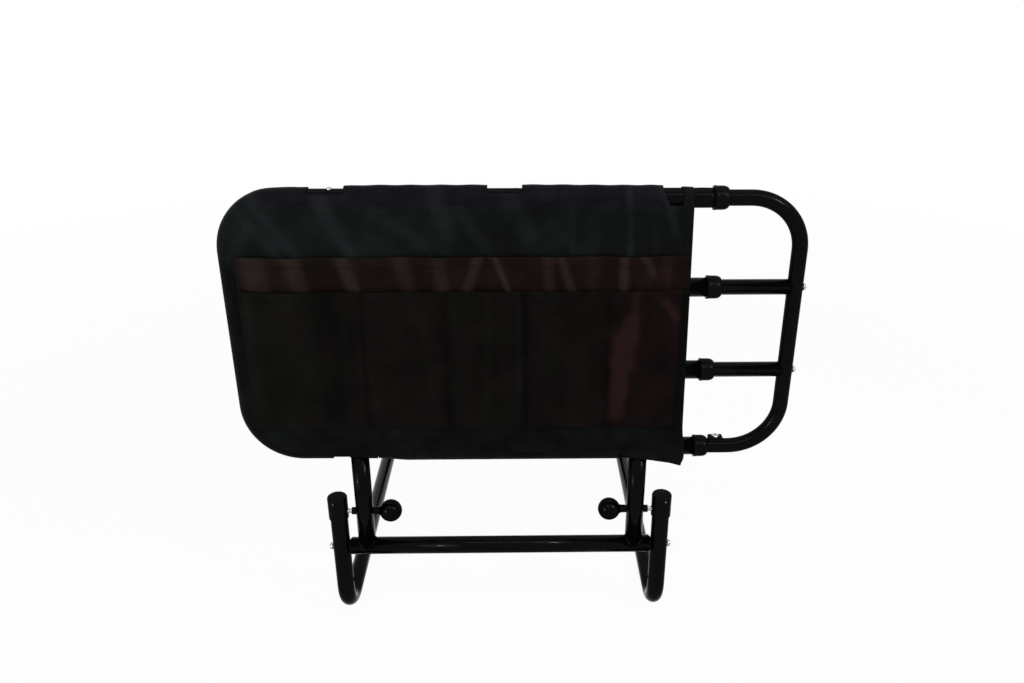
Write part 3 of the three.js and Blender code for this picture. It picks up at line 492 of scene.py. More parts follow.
def hard_finish(grain, dust, colours, name, colour, rough, spread, scale, bump, dusty, metallic, edge):
    """A hard finish: colour and roughness drift with the grain's mottling, and dust dulls what faces up. The
    black ones mirror little more head-on than they scatter, and edge keeps them dark at a glance."""
    material, tree, shader = new_material(name)
    colour = getattr(colours, colour)
    place = add_node(tree, "ShaderNodeTexCoord").outputs["Object"]
    grained = group_node(tree, grain, Vector=place, Scale=scale, Coarse=0.35)
    settled = group_node(tree, dust, Vector=place, Amount=dusty)["Mask"]
    shade = blend_node(tree, grained["Mottling"], tinted(colour, 0.85), tinted(colour, 1.2))
    shade = blend_node(tree, settled, shade, tinted(colour, 0.8, 0.04))
    tree.links.new(shade, shader.inputs["Base Color"])
    base = math_node(tree, "MULTIPLY_ADD", grained["Mottling"], spread, rough - spread / 2)
    tree.links.new(math_node(tree, "MULTIPLY_ADD", settled, 0.35, base), shader.inputs["Roughness"])
    bumps = add_node(tree, "ShaderNodeBump", Height=grained["Height"], Strength=bump, Distance=0.0002)
    tree.links.new(bumps.outputs["Normal"], shader.inputs["Normal"])
    set_inputs(shader, Metallic=metallic, Specular_IOR_Level=0.02, Specular_Tint=(edge, edge, edge, 1.0))
    if dusty and metallic:
        bare = math_node(tree, "MULTIPLY_ADD", settled, -metallic, metallic)
        tree.links.new(bare, shader.inputs["Metallic"])
    return material


def cloth_finish(weave, colours, name, colour, tint):
    """Coated nylon: woven threads and slubs on the flat cut, and ribs where the cloth is gathered round a
    tube. The tone of a place lies between dark and pale: paler where its marks paint sheen on creases and
    folds, darker where they paint shade by the seams, with a random drift, and warmth draws it to the tint."""
    thread_pitch, rib_pitch, rib_height = 0.0006, 0.0034, 3.2
    material, tree, shader = new_material(name)
    flat = add_node(tree, "ShaderNodeUVMap", {"uv_map": "Flat"}).outputs["UV"]
    woven = group_node(tree, weave, Vector=flat, Pitch=thread_pitch)
    marks = {key: add_node(tree, "ShaderNodeAttribute", {"attribute_name": key}).outputs["Fac"]
             for key in ("tone", "warm", "rib")}
    drift = math_node(tree, "MULTIPLY_ADD", noise_node(tree, flat, 22.0, 5.0, 0.6), 0.9, -0.45)
    # The tone mark's painted sheen and painted shade land in the colour here, between the dark and pale
    # colours
    tone = math_node(tree, "ADD", marks["tone"], drift, clamp=True)
    toned = blend_node(tree, tone, getattr(colours, colour), getattr(colours, colour + "_pale"))
    warmed = blend_node(tree, marks["warm"], toned, tint, "MULTIPLY")
    threads = math_node(tree, "MULTIPLY_ADD", woven["Slub"], 0.5, 0.75)
    shade = add_node(tree, "ShaderNodeVectorMath", {"operation": "SCALE"}, i0=warmed, Scale=threads)
    tree.links.new(shade.outputs[0], shader.inputs["Base Color"])
    along = add_node(tree, "ShaderNodeSeparateXYZ", Vector=flat).outputs["X"]
    wave = math_node(tree, "SINE", math_node(tree, "MULTIPLY", along, TURN / rib_pitch))
    ribbed = math_node(tree, "MULTIPLY", math_node(tree, "MULTIPLY", wave, marks["rib"]), rib_height)
    height = math_node(tree, "ADD", math_node(tree, "MULTIPLY", woven["Height"], 0.5), ribbed)
    bumps = add_node(tree, "ShaderNodeBump", Height=height, Strength=0.5, Distance=0.0002)
    tree.links.new(bumps.outputs["Normal"], shader.inputs["Normal"])
    tree.links.new(math_node(tree, "MULTIPLY_ADD", tone, -0.14, 0.52), shader.inputs["Roughness"])
    set_inputs(shader, Specular_IOR_Level=0.02)
    return material


def make_finishes(colours):
    """Every material, from the colours in the sidebar."""
    grain, dust, weave = grain_group(), dust_group(), weave_group()
    for key, values in HARD_FINISHES.items():
        finishes[key] = hard_finish(grain, dust, colours, *values)
    for key, values in CLOTH_FINISHES.items():
        finishes[key] = cloth_finish(weave, colours, *values)


# Sizes and colours that a user would change

def length(name, description, default):
    return bpy.props.FloatProperty(name=name, description=description, default=default * MM, min=0.0,
                                   unit="LENGTH", subtype="DISTANCE", precision=4)


def colour(name, description, default):
    return bpy.props.FloatVectorProperty(name=name, description=description, default=(*default, 1.0), size=4,
                                         min=0.0, max=1.0, subtype="COLOR")


class RailSizes(bpy.types.PropertyGroup):
    """Sizes of the tubes, the welds and the cloth"""
    tube: length("Frame tube", "Outside diameter of the base's and the fixed half's tubes", 22.2)
    tube_wall: length("Frame wall", "Wall of the frame tubes", 1.5)
    slide: length("Sliding tube", "Outside diameter of the tubes that slide out", 18.0)
    slide_wall: length("Sliding wall", "Wall of the sliding tubes", 1.2)
    corner: length("Corner bend", "Bend radius of the panel's corners", 60.0)
    arm_bend: length("Arm bend", "Bend radius between an arm's stub and leg", 41.0)
    bead: length("Weld bead", "Radius of the weld beads", 1.15)
    cloth: length("Cloth", "Thickness of the cloth", 0.9)
    sleeve: length("Sleeve", "Radius of the cover's sleeves", 12.7)
    folds: length("Folds", "Height of the cover's main creases", 2.4)
    stitch: length("Stitch", "Distance from one stitch to the next", 3.2)


class RailColours(bpy.types.PropertyGroup):
    """Colours of the finishes"""
    paint: colour("Tube paint", "Gloss black paint of the tubes", (0.0045, 0.0044, 0.0044))
    plastic: colour("Plastic", "Black plastic of caps, collars and plugs", (0.0046, 0.0046, 0.0047))
    knob: colour("Knobs", "Polished black of the ball knobs", (0.0036, 0.0036, 0.0036))
    zinc: colour("Zinc", "Bright steel of screws, bolts and pins", (0.42, 0.42, 0.44))
    dark_steel: colour("Cap screws", "Blackened steel of the screws in the caps", (0.09, 0.085, 0.08))
    spring: colour("Spring wire", "Drawn steel of the springs", (0.5, 0.51, 0.53))
    # The cloth's pale tones also give its painted sheen on creases and folds, and the dark ones its painted
    # shade
    cover: colour("Cover", "Darkest tone of the cover's nylon", (0.0022, 0.0021, 0.0019))
    cover_pale: colour("Cover, pale", "Palest tone of the cover's nylon", (0.0112, 0.0142, 0.0148))
    pocket: colour("Front pocket", "Darkest tone of the front pocket's nylon", (0.0012, 0.0012, 0.001))
    pocket_pale: colour("Front pocket, pale", "Palest tone of the front pocket", (0.0088, 0.0082, 0.0068))
    band: colour("Rear pocket", "Darkest tone of the rear pocket's nylon", (0.0057, 0.0038, 0.0031))
    band_pale: colour("Rear pocket, pale", "Palest tone of the rear pocket", (0.0218, 0.0160, 0.0128))
    thread: colour("Thread", "Thread of the seams", (0.0035, 0.0035, 0.0035))
    floor: colour("Floor", "Pale floor and background", (0.86, 0.86, 0.86))


def sizes():
    """The sidebar's lengths in millimetres."""
    group = bpy.context.scene.guard_rail_sizes
    return {key: getattr(group, key) / MM for key in RailSizes.__annotations__}


# Base

# How far from the other tube's axis a welded tube ends, as a share of the radius
WELD_REACH = 0.6

# The welds on the base are cut off flat at this height, since the arms stand on the floor
WELD_FLOOR = 0.15

LOCK_HOLE_R = 3.6
CAP_R = 12.6
CAP_SCREW_TURN = math.radians(16)


def arm(side, size):
    """The arm's surface, with a hole for the lock pin where it stands upright and one where it is folded."""
    radius, sides = size["tube"] / 2, 64
    x = side * STUB_X
    holes = [STUB_TOP - LOCK_Z, STUB_TOP - (2 * HINGE_Z - LOCK_Z)]
    extra = np.concatenate([hole_stations(d, radius, sides) for d in holes])
    corners = [(x, 0, STUB_TOP), (x, 0, ARM_Z), (x, ARM_BACK, ARM_Z)]
    centres, ways = bent_line(corners, size["arm_bend"], extra)
    grid = Grid(rings(centres, ways, X, radius, sides), wrap=True)
    open_holes(grid, holes, 0 if side < 0 else sides // 2, radius, LOCK_HOLE_R)
    return grid


def stub_cap(side):
    """The cap's outside: a straight skirt with the lock's hole, a round edge and a slightly crowned top,
    whose height falls off with the square of the distance from its middle."""
    sides, edge, crown, chamfer = 72, 2.6, 0.6, 0.35
    around = hole_stations(LOCK_Z, CAP_R, sides)
    lower = [[CAP_R - chamfer, CAP_LOW], [CAP_R, CAP_LOW + chamfer]]
    a = np.linspace(0, math.pi / 2, 7)
    rim = CAP_TOP - crown - edge
    shoulder = np.stack([CAP_R - edge + edge * np.cos(a), rim + edge * np.sin(a)], -1)
    across = np.linspace(1, 0, 6)[1:]
    top = np.stack([(CAP_R - edge) * across, CAP_TOP - crown * across ** 2], -1)
    skirt = np.stack([np.full(len(around), CAP_R), around], -1)
    grid = turned(np.concatenate([lower, skirt, shoulder, top]), (side * STUB_X, 0, 0), Z, X, sides)
    open_hole(grid, len(lower) + HOLE_REACH, 0 if side < 0 else sides // 2, CAP_R, LOCK_HOLE_R)
    return grid


def pan_head(head_r, height, steps=5):
    """Profile of a pan head, from its flat to the pole: a short straight rim, and an ellipse over it."""
    a = np.linspace(0.25, math.pi / 2, steps + 1)
    over = np.stack([head_r * np.cos(a) * (a < a[-1]) * 1.02, height * np.sin(a)], -1)
    return np.concatenate([[[0, 0], [head_r, 0], [head_r, height * 0.25]], over])


def painted_shade_cross(place, way, up, size, depth):
    """A black cross that paints the shade in a cross-shaped recess: two crossed slots, sunk by depth under
    the head's top.
    """
    above, slimness = 0.05, 0.22
    side = np.cross(way, up)
    corners = size * np.array([[1, slimness], [-1, slimness], [-1, -slimness], [1, -slimness]])
    rise, sink = above * np.asarray(way), depth * np.asarray(way)
    grids = []
    for u, v in ((up, side), (side, up)):
        base = np.asarray(place) + corners[:, :1] * u + corners[:, 1:] * v
        centre = np.repeat(base.mean(0)[None], len(base), 0)
        grids.append(Grid(np.stack([centre + rise, base + rise, base - sink, centre - sink]), wrap=True))
    return grids


def make_base():
    size = sizes()
    radius, wall = size["tube"] / 2, size["tube_wall"]
    plug_r, plug_length, cap_wall = radius - 1.9, 11, 1.2
    flange_r = radius - 0.1
    beads = []
    for side, name in SIDES:
        x = side * STUB_X
        make_piece(f"bent_arm_{name}", "base", "tube_paint", [arm(side, size)], f"arm_{name}", wall=wall)
        plug = soft([[0, ARM_BACK - plug_length], [plug_r, ARM_BACK - plug_length], [plug_r, ARM_BACK],
                     [flange_r, ARM_BACK + 0.1], [flange_r, ARM_PLUG_BACK], [0, ARM_PLUG_BACK]], 0.8)
        make_piece(f"arm_end_plug_{name}", "base", "black_plastic", [turned(plug, (x, 0, ARM_Z), Y, Z)],
                   f"arm_plug_{name}")
        make_piece(f"domed_cap_{name}", "base", "black_plastic", [stub_cap(side)], f"stub_cap_{name}",
                   wall=cap_wall)
        way = side * math.sin(CAP_SCREW_TURN) * X - math.cos(CAP_SCREW_TURN) * Y
        place = np.array([x, 0, CAP_SCREW_Z]) + way * (CAP_R - 0.05)
        screw = [turned(pan_head(1.3, 0.8), place, way, Z, 32), shank(1.1, -3, place, way, Z)]
        make_piece(f"cap_pan_screw_{name}", "base", "zinc_steel", screw, f"cap_screw_{name}",
                   finish="cap_screw_steel")
        # Painted shade: a black cross stands for the shade inside the screw head's recess
        make_piece(f"cap_screw_recess_{name}", "base", "black_plastic",
                   painted_shade_cross(place + way * 0.77, way, Z, 0.6, 0.3))
        beads.append(weld((x, REAR_BAR_Y, ARM_Z), -side * X, Y, radius, size["bead"]))
    inside = STUB_X - WELD_REACH * radius
    bar = pipe([(-inside, REAR_BAR_Y, ARM_Z), (inside, REAR_BAR_Y, ARM_Z)], radius, Y)
    make_piece("rear_cross_tube", "base", "tube_paint", [bar], "rear_crossbar", wall=wall)
    for bead in beads:
        bead.points[..., 2] = np.maximum(bead.points[..., 2], WELD_FLOOR)
    make_piece("base_welds", "base", "tube_paint", beads)


def make_hinge():
    """Bolts with domed heads outside the stubs, washers, and the round nuts inside the crossbar's ends."""
    outside = STUB_X + sizes()["tube"] / 2
    bolt_r, head_r, head_height, bore_r, washer_r, nut_r = 3, 4.7, 4.45, 3.3, 9.5, 9.0
    head = soft([[0, 0.1], [head_r, 0.1], [head_r, 1.4], [4.3, 2.9], [3.2, 3.9], [1.9, 4.3],
                 [0, head_height]], 0.5)
    washer = soft([[bore_r + 0.2, WASHER_IN], [washer_r, WASHER_IN], [washer_r, WASHER_OUT],
                   [bore_r + 0.2, WASHER_OUT]], 0.25)
    nut = soft([[bore_r, NUT_IN], [nut_r, NUT_IN], [nut_r, NUT_OUT], [bore_r, NUT_OUT]], 0.6)
    for side, name in SIDES:
        way, axis = side * X, (0, 0, HINGE_Z)
        place = np.array([side * outside, 0, HINGE_Z])
        bolt = [turned(head, place, way, Z, 40), shank(bolt_r, NUT_IN - outside, place, way, Z, 24, 0.2)]
        make_piece(f"hinge_bolt_{name}", "base", "zinc_steel", bolt, f"pivot_bolt_{name}")
        # Painted shade: a black cross stands for the shade inside the bolt head's recess
        make_piece(f"hinge_bolt_recess_{name}", "base", "black_plastic",
                   painted_shade_cross(place + way * (head_height - 0.1), way, Z, 2.1, 0.8))
        make_piece(f"hinge_washer_{name}", "base", "black_plastic",
                   [turned(ring_of(washer), axis, way, Z)], f"pivot_washer_{name}")
        make_piece(f"hinge_nut_{name}", "base", "zinc_steel",
                   [turned(ring_of(nut), axis, way, Z)], f"pivot_nut_{name}")


# Fixed half

BUTTON_HOLE_R = 3.55

# The CAD's tubes have 20 flat faces, so their boxes end at the middle of one
FACET_SHARE = math.cos(math.pi / 20)


def left_line(size):
    """Where the fixed loop's left-hand upright has its centre line."""
    return LOOP_FAR_LEFT + size["tube"] / 2 * FACET_SHARE


def fixed_loop(size):
    """The loop's surface, with the button holes opened along its top run."""
    radius, sides, left = size["tube"] / 2, 72, left_line(size)
    holes = [FIXED_END - (BUTTON_X + i * HOLE_PITCH) for i in (2, 1, 0)]
    extra = np.concatenate([hole_stations(d, radius, sides) for d in holes])
    corners = [(FIXED_END, 0, TOP_Z), (left, 0, TOP_Z), (left, 0, LOW_Z), (FIXED_END, 0, LOW_Z)]
    centres, ways = bent_line(corners, size["corner"], extra)
    grid = Grid(rings(centres, ways, -Y, radius, sides), wrap=True)
    open_holes(grid, holes, np.argmax(grid.points[1 + HOLE_REACH, :, 2]), radius, BUTTON_HOLE_R)
    return grid


def collar(z):
    """A ring, a sleeve and a domed lip round the fixed tube's end: the lip's outside is a quarter of an
    ellipse."""
    bore, ring, sleeve_r, lip, edge, ring_width = 11.3, 13.6, 13.3, 9.5, 0.15, 3
    lip_start, lip_end, tube_end = COLLAR_RIGHT - 8.5, COLLAR_RIGHT - 1.2, FIXED_END + 0.3
    a = np.linspace(0, math.pi / 2, 9)[:, None]
    domed = np.hstack([lip + (sleeve_r - lip) * np.cos(a), lip_start + (lip_end - lip_start) * np.sin(a)])
    before = soft([[bore, COLLAR_LEFT], [ring, COLLAR_LEFT], [ring, COLLAR_LEFT + ring_width],
                   [sleeve_r, COLLAR_LEFT + ring_width + 0.4], domed[0]], 0.7)
    seat = [[lip - edge, lip_end], [lip - edge, tube_end], [bore, tube_end]]
    return turned(ring_of(np.concatenate([before, domed[1:], seat])), (0, 0, z), X, Z, 56)


def make_fixed_half():
    size = sizes()
    radius, bead, left = size["tube"] / 2, size["bead"], left_line(size)
    gap = WELD_REACH * radius
    beads = []

    def put_tube(name, node, grid):
        make_piece(name, "rail_frame", "tube_paint", [grid], node, wall=size["tube_wall"])

    put_tube("fixed_loop", "fixed_loop_tube", fixed_loop(size))
    for z, name in zip(RAIL_Z[1:3], ("low", "high")):
        put_tube(f"fixed_middle_rail_{name}", f"fixed_rail_{name}",
                 pipe([(left + gap, 0, z), (FIXED_END, 0, z)], radius, Z))
        beads.append(weld((left, 0, z), X, Z, radius, bead))
    for low, high, name in zip(RAIL_Z, RAIL_Z[1:], ("low", "middle", "high")):
        put_tube(f"upright_link_{name}", f"post_link_{name}",
                 pipe([(POST_X, 0, low + gap), (POST_X, 0, high - gap)], radius, X))
        beads += [weld((POST_X, 0, low), Z, X, radius, bead), weld((POST_X, 0, high), -Z, X, radius, bead)]
    for side, name in SIDES:
        x = side * POST_X
        put_tube(f"upright_post_{name}", f"post_{name}",
                 pipe([(x, 0, HINGE_Z + gap), (x, 0, LOW_Z - gap)], radius, X))
        beads += [weld((x, 0, LOW_Z), -Z, X, radius, bead), weld((x, 0, HINGE_Z), Z, X, radius, bead)]
    put_tube("hinge_cross_tube", "hinge_crossbar",
             pipe([(-BAR_END, 0, HINGE_Z), (BAR_END, 0, HINGE_Z)], radius, Z))
    make_piece("frame_welds", "rail_frame", "tube_paint", beads)
    for number, z in enumerate(RAIL_Z, 1):
        make_piece(f"sliding_collar_{number}", "rail_frame", "black_plastic", [collar(z)], f"collar_{number}")


# Locks

def lock_profiles():
    """Profiles of the barrel, the pin and the knob, whose heights are distances from the posts' middle."""
    bore, barrel_r, spring_room, floor = 2.4, 4.7, 3.6, 3
    barrel = soft([[bore, BARREL_IN], [barrel_r, BARREL_IN], [barrel_r, BARREL_OUT],
                   [spring_room, BARREL_OUT], [spring_room, BARREL_IN + floor], [bore, BARREL_IN + floor]],
                  0.35)
    stem_r, nose_r, nose, bevel = 2.1, 3.0, 13.5, 0.7
    shoulder = PIN_TIP - nose
    pin = soft([[0, PIN_STEM_END], [stem_r, PIN_STEM_END], [stem_r, shoulder], [nose_r, shoulder],
                [nose_r, PIN_TIP - bevel], [nose_r - bevel, PIN_TIP], [0, PIN_TIP]], 0.3)
    neck_r, start = 4.6, KNOB_NECK + 0.5
    neck = np.array([[0, start], [neck_r, start], [5.0, start - 0.4], [5.0, start - 6], [5.3, start - 7.4],
                     [6.1, start - 8.6]])
    a = np.linspace(math.asin(6.4 / KNOB_R), math.pi, 25)
    ball = np.stack([KNOB_R * np.sin(a) * (a < math.pi), KNOB_FAR + KNOB_R + KNOB_R * np.cos(a)], -1)
    return ring_of(barrel), pin, np.concatenate([neck, ball])


def make_locks():
    wire_r, coil_r, curls, clearance = 0.35, 2.85, 6, 0.3
    barrel, pin, knob = lock_profiles()
    for side, name in SIDES:
        way, place = side * X, (0, 0, LOCK_Z)
        make_piece(f"pin_barrel_{name}", "rail_frame", "black_plastic", [turned(barrel, place, way, Z, 40)],
                   f"lock_barrel_{name}")
        low, high = ((side * x) * X + LOCK_Z * Z for x in (SPRING_IN + wire_r, SPRING_OUT - wire_r))
        coiled = make_piece(f"pin_spring_{name}", "rail_frame", "spring_steel",
                            [coil(low, high, coil_r, wire_r, curls)], f"lock_spring_{name}")
        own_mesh(coiled)
        body = f"lock_plunger_{name}"
        make_piece(f"locking_pin_{name}", body, "zinc_steel", [turned(pin, place, way, Z, 40)],
                   f"lock_pin_{name}")
        make_piece(f"ball_knob_{name}", body, "knob_gloss", [turned(knob, place, way, Z, 64)],
                   f"lock_knob_{name}")


# Half that slides out

def button_leaf():
    """The leaf spring under the snap button, bent like a V on its side and extruded along y."""
    (left, right), (low, high) = ends("button_spring", 0), ends("button_spring", 2)
    thin, middle_z, half_width = 0.6, (low + high) / 2, 3.4
    line = np.array([[right, high], [left, middle_z + thin / 2], [left, middle_z - thin / 2], [right, low],
                     [right, low + thin], [left + 2 * thin, middle_z], [right, high - thin]])
    rows = [np.stack([line[:, 0], np.full(len(line), y), line[:, 1]], -1) for y in (-half_width, half_width)]
    centres = [np.repeat(row[5:6], len(line), 0) for row in rows]
    return Grid(np.stack([centres[0], *rows, centres[1]]), wrap=True), low, high


def make_end_fasteners(z, name, outside):
    """A middle rail's bolt through the end upright, and the threaded insert in the rail that takes it."""
    place = np.array([outside, 0, z])
    bolt_r, bolt_length, head_r, head_height, insert_r = 2.5, 30, 4.4, 3.8, 7.4
    head = soft([[0, 0.05], [head_r, 0.05], [head_r, 1.2], [3.6, 2.7], [2.0, 3.6], [0, head_height]], 0.5)
    bolt = [turned(head, place, X, Z, 40), shank(bolt_r, -bolt_length, place, X, Z)]
    make_piece(f"end_bolt_{name}", "extension", "zinc_steel", bolt, f"rail_bolt_{name}")
    # Painted shade: a black cross stands for the shade inside the bolt head's recess
    make_piece(f"end_bolt_recess_{name}", "extension", "black_plastic",
               painted_shade_cross(place + X * (head_height - 0.1), X, Z, 1.9, 0.7))
    bore = bolt_r + 0.3
    insert = [[bore, INSERT_IN], [insert_r, INSERT_IN], [insert_r, INSERT_OUT], [bore, INSERT_OUT],
              [bore, INSERT_IN]]
    make_piece(f"threaded_insert_{name}", "extension", "zinc_steel", [turned(insert, (0, 0, z), X, Z, 32)],
               f"rail_insert_{name}")


def make_sliding_half():
    size = sizes()
    radius, wall, body = size["slide"] / 2, size["slide_wall"], "extension"
    right = LOOP_FAR_RIGHT - radius
    corners = [(SLIDE_TAIL, 0, TOP_Z), (right, 0, TOP_Z), (right, 0, LOW_Z), (SLIDE_TAIL, 0, LOW_Z)]
    make_piece("sliding_loop", body, "tube_paint", [pipe(corners, radius, Y, size["corner"])],
               "sliding_loop_tube", wall=wall)
    for z, name in zip(RAIL_Z[1:3], ("low", "high")):
        rail = pipe([(SLIDE_TAIL, 0, z), (right - 0.7 * radius, 0, z)], radius, Z)
        make_piece(f"sliding_middle_rail_{name}", body, "tube_paint", [rail], f"sliding_rail_{name}",
                   wall=wall)
        make_end_fasteners(z, name, right + radius)
    flange_r, plug_r, flange, plug = 9.3, 7.5, GLIDE_IN + 2, GLIDE_IN + 11
    glide = soft([[0, GLIDE_IN], [flange_r, GLIDE_IN], [flange_r, flange], [plug_r, flange], [plug_r, plug],
                  [0, plug]], 0.4)
    for number, z in enumerate(RAIL_Z, 1):
        make_piece(f"tube_glide_{number}", body, "black_plastic", [turned(glide, (0, 0, z), X, Z, 40)],
                   f"glide_plug_{number}")
    tube_top, button_r, foot_r, foot_low, foot_high = TOP_Z + size["tube"] / 2, 3.1, 4.4, TOP_Z + 5, TOP_Z + 6
    button = np.concatenate([
        [[0, foot_low], [foot_r, foot_low], [foot_r, foot_high], [button_r, foot_high]],
        dome(button_r, tube_top + 0.3, BUTTON_TOP - tube_top - 0.3)])
    make_piece("push_button", "snap_button", "zinc_steel", [turned(button, (BUTTON_X, 0, 0), Z, X, 40)],
               "snap_button")
    leaf, low, high = button_leaf()
    leaf = make_piece("button_leaf_spring", body, "spring_steel", [leaf], "button_spring")
    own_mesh(leaf)


def make_stop():
    """The stop: a saddle-bottomed block with rounded edges, and its screw. Across the tube, its underside is
    sqrt(radius^2 - y^2) over the tube's middle, and its top falls off with the sixth power of y."""
    radius, half, round_r, body = sizes()["slide"] / 2, 5.0, 0.7, "extension"
    a = np.linspace(-1, 1, 9)
    y = half * a
    under = LOW_Z + np.sqrt(radius ** 2 - y ** 2)
    over = STOP_TOP - 0.6 * np.abs(a) ** 6
    section = np.concatenate([np.stack([y, under], -1), np.stack([y[::-1], over[::-1]], -1)])
    along = np.array([STOP_LEFT, STOP_LEFT, STOP_LEFT + round_r,
                      STOP_RIGHT - round_r, STOP_RIGHT, STOP_RIGHT])
    shares = np.array([0, 0.93, 1, 1, 0.93, 0])
    mid = section.mean(0)
    shape = mid + shares[:, None, None] * (section - mid)
    points = np.concatenate([np.broadcast_to(along[:, None, None], (*shape.shape[:2], 1)), shape], -1)
    make_piece("travel_stop", body, "black_plastic", [Grid(points, wrap=True)], "stop_block")
    place = np.array([(STOP_LEFT + STOP_RIGHT) / 2, 0, STOP_TOP + 0.05])
    head_height = STOP_SCREW_TOP - STOP_TOP
    screw = [turned(pan_head(4.2, head_height), place, Z, X, 36), shank(1.6, -9, place, Z, X)]
    make_piece("travel_stop_screw", body, "zinc_steel", screw, "stop_screw")
    # Painted shade: a black cross stands for the shade inside the screw head's recess
    make_piece("travel_stop_screw_recess", body, "black_plastic",
               painted_shade_cross(place + Z * (head_height - 0.05), Z, X, 1.6, 0.6))


# Cloth

# Creases of the cover: start x, z, end x, z, width and height as a share of the folds' height. The same lines
# carry the cloth's painted sheen
COVER_CREASES = [
    (-193, 578, -160, 512, 9, 1.0), (-262, 572, -222, 512, 6, 0.8), (-276, 556, -244, 514, 5, 0.6),
    (-290, 510, -268, 545, 8, 0.5), (-133, 562, -78, 522, 8, 0.6), (-67, 578, -50, 536, 10, 0.7),
    (-38, 562, -8, 514, 7, 0.5), (14, 576, 38, 532, 11, 0.7), (60, 545, 92, 516, 8, 0.4),
    (84, 560, 86, 512, 3, 0.4), (146, 590, 150, 510, 3.5, 1.0), (188, 590, 200, 536, 5, 0.9),
    (176, 540, 180, 512, 4, 0.4), (112, 560, 104, 505, 9, 0.2), (150, 300, 130, 240, 8, 0.5),
    (175, 292, 186, 240, 7, 0.5), (-285, 330, -262, 280, 9, 0.5), (-240, 300, -205, 262, 10, 0.4),
    (-120, 294, -110, 250, 8, 0.5), (-100, 280, -88, 246, 5, 0.5), (-20, 292, -14, 252, 6, 0.5),
    (60, 294, 66, 250, 9, 0.2),
]

# Folds of the rear pocket's sheet, whose top shows as a band. The same lines carry its painted sheen
BAND_CREASES = [
    (-270, 515, -266, 470, 14, 0.75), (-228, 515, -218, 470, 11, 0.65), (-172, 515, -159, 470, 8, 0.75),
    (-108, 515, -98, 470, 9, 0.5), (-64, 515, -60, 470, 8, 0.5), (-18, 515, -33, 470, 6, 0.8),
    (-3, 515, 14, 470, 3.5, 1.0), (58, 515, 60, 470, 6.5, 0.6), (71, 515, 85, 470, 5, 0.8),
    (112, 512, 108, 470, 7, 0.25), (142, 515, 144, 470, 5.5, 0.9), (163, 515, 174, 494, 4, 0.8),
    (190, 505, 194, 474, 6, 0.3),
]

# Creases of the front pocket's sheet, which also carry its painted sheen
FRONT_CREASES = [
    (-240, 455, -236, 370, 26, 0.55), (-157, 465, -160, 330, 3, 0.5), (-96, 465, -74, 400, 9, 0.5),
    (-78, 380, -72, 310, 8, 0.35), (-8, 465, -14, 330, 6, 0.5), (24, 468, 25, 340, 3, 0.6),
    (60, 450, 66, 300, 12, 0.3), (92, 400, 90, 300, 13, 0.3), (184, 462, 204, 440, 4, 1.0),
    (-236, 330, -250, 300, 14, 0.3), (202, 440, 205, 400, 5, 0.35), (-30, 380, -40, 300, 10, 0.25),
]

# Painted sheen, pale and warm, down a crease in the front pocket's last compartments
STREAK_SHEEN = [
    (158, 468, 157, 440, 5, 0.6), (154, 436, 152, 416, 10, 0.9), (147, 412, 146, 382, 15, 1.0),
    (144, 378, 143, 346, 11, 1.0), (142, 342, 141, 314, 9, 0.9), (192, 458, 203, 443, 6, 0.5),
]

# Where the sock over the left-hand bends ends, the two ends of the strap under the lowest tube, and where
# the corner's longer skirt starts
SOCK_END = -POST_X - 31.5
STRAP_LEFT, STRAP_RIGHT = -POST_X + 25, POST_X - 25
CORNER_LEFT = COVER_RIGHT - 36

# Where the sleeve is open: at the button holes, before its last loop, and beside the strap
TOP_GAPS = [(SOCK_END, BUTTON_X + 16), (BUTTON_X + HOLE_PITCH - 31.7, BUTTON_X + HOLE_PITCH + 6.3),
            (COVER_RIGHT - 27, COVER_RIGHT - 12)]
LOW_GAPS = [(SOCK_END, STRAP_LEFT), (STRAP_RIGHT, COVER_RIGHT)]

# Distances from the tubes' centre lines: how far out the front reaches at a gap, how far in it is cut at the
# last one, and how far in the flaps and the last loop's short flap reach behind
GAP_EDGE = 6.5
TOP_CUT = 5.0
BACK_FLAP = 42.0
LOOP_FLAP = 15.0

# Columns and rows of cells in the left-hand bends and between them, and the width of a cell elsewhere
BEND_COLUMNS, BEND_ROWS, SIDE_ROWS = 17, 18, 55
COVER_CELL = 3.6
POCKET_CELL = 3.2

# On the flat cut, the back lies to the left of the front, and the sleeve above both
BACK_FLAT_X = -640.0
SLEEVE_FLAT_Z = 600.0

# The pockets' hems, and the left-hand end of the seams along the top and lowest tubes
HEM_RISE = 0.45
HEM_DEPTH = 13.0
COVER_SEAM_LEFT = -236.0

# The seams that divide the front pocket, as shares of its width
DIVIDER_SHARES = [0.268, 0.458, 0.637, 0.826]
DIVIDERS = [POCKET_LEFT + share * (POCKET_RIGHT - POCKET_LEFT) for share in DIVIDER_SHARES]

# The cloth's low waves: a length and a weight of each, and then its kx, kz, phase and weight
WAVE_LENGTHS = ((95, 0.30), (70, 0.24), (55, 0.2), (42, 0.16), (33, 0.12), (26, 0.1), (20, 0.07))
WAVE_SPREAD = 0.45
RANDOM = np.random.default_rng(7)
WAVES = [(*(TURN * WAVE_SPREAD * RANDOM.normal(0, 1, 2) / length), RANDOM.uniform(0, TURN), weight)
         for length, weight in WAVE_LENGTHS]


def marks_along(x, z, table, power, fade):
    """Marks along lines: share * exp(-(d / width)^power), where d is the distance to the line, which die out
    past its two ends as exp(-(past / fade)^2)."""
    total = np.zeros_like(x)
    for x0, z0, x1, z1, width, share in table:
        run = np.array([x1 - x0, z1 - z0], float)
        reach = np.hypot(*run)
        run /= reach
        along = (x - x0) * run[0] + (z - z0) * run[1]
        off = np.abs((x - x0) * run[1] - (z - z0) * run[0])
        past = np.maximum(np.maximum(-along, along - reach), 0)
        total += share * np.exp(-(off / width) ** power - (past / fade) ** 2)
    return total


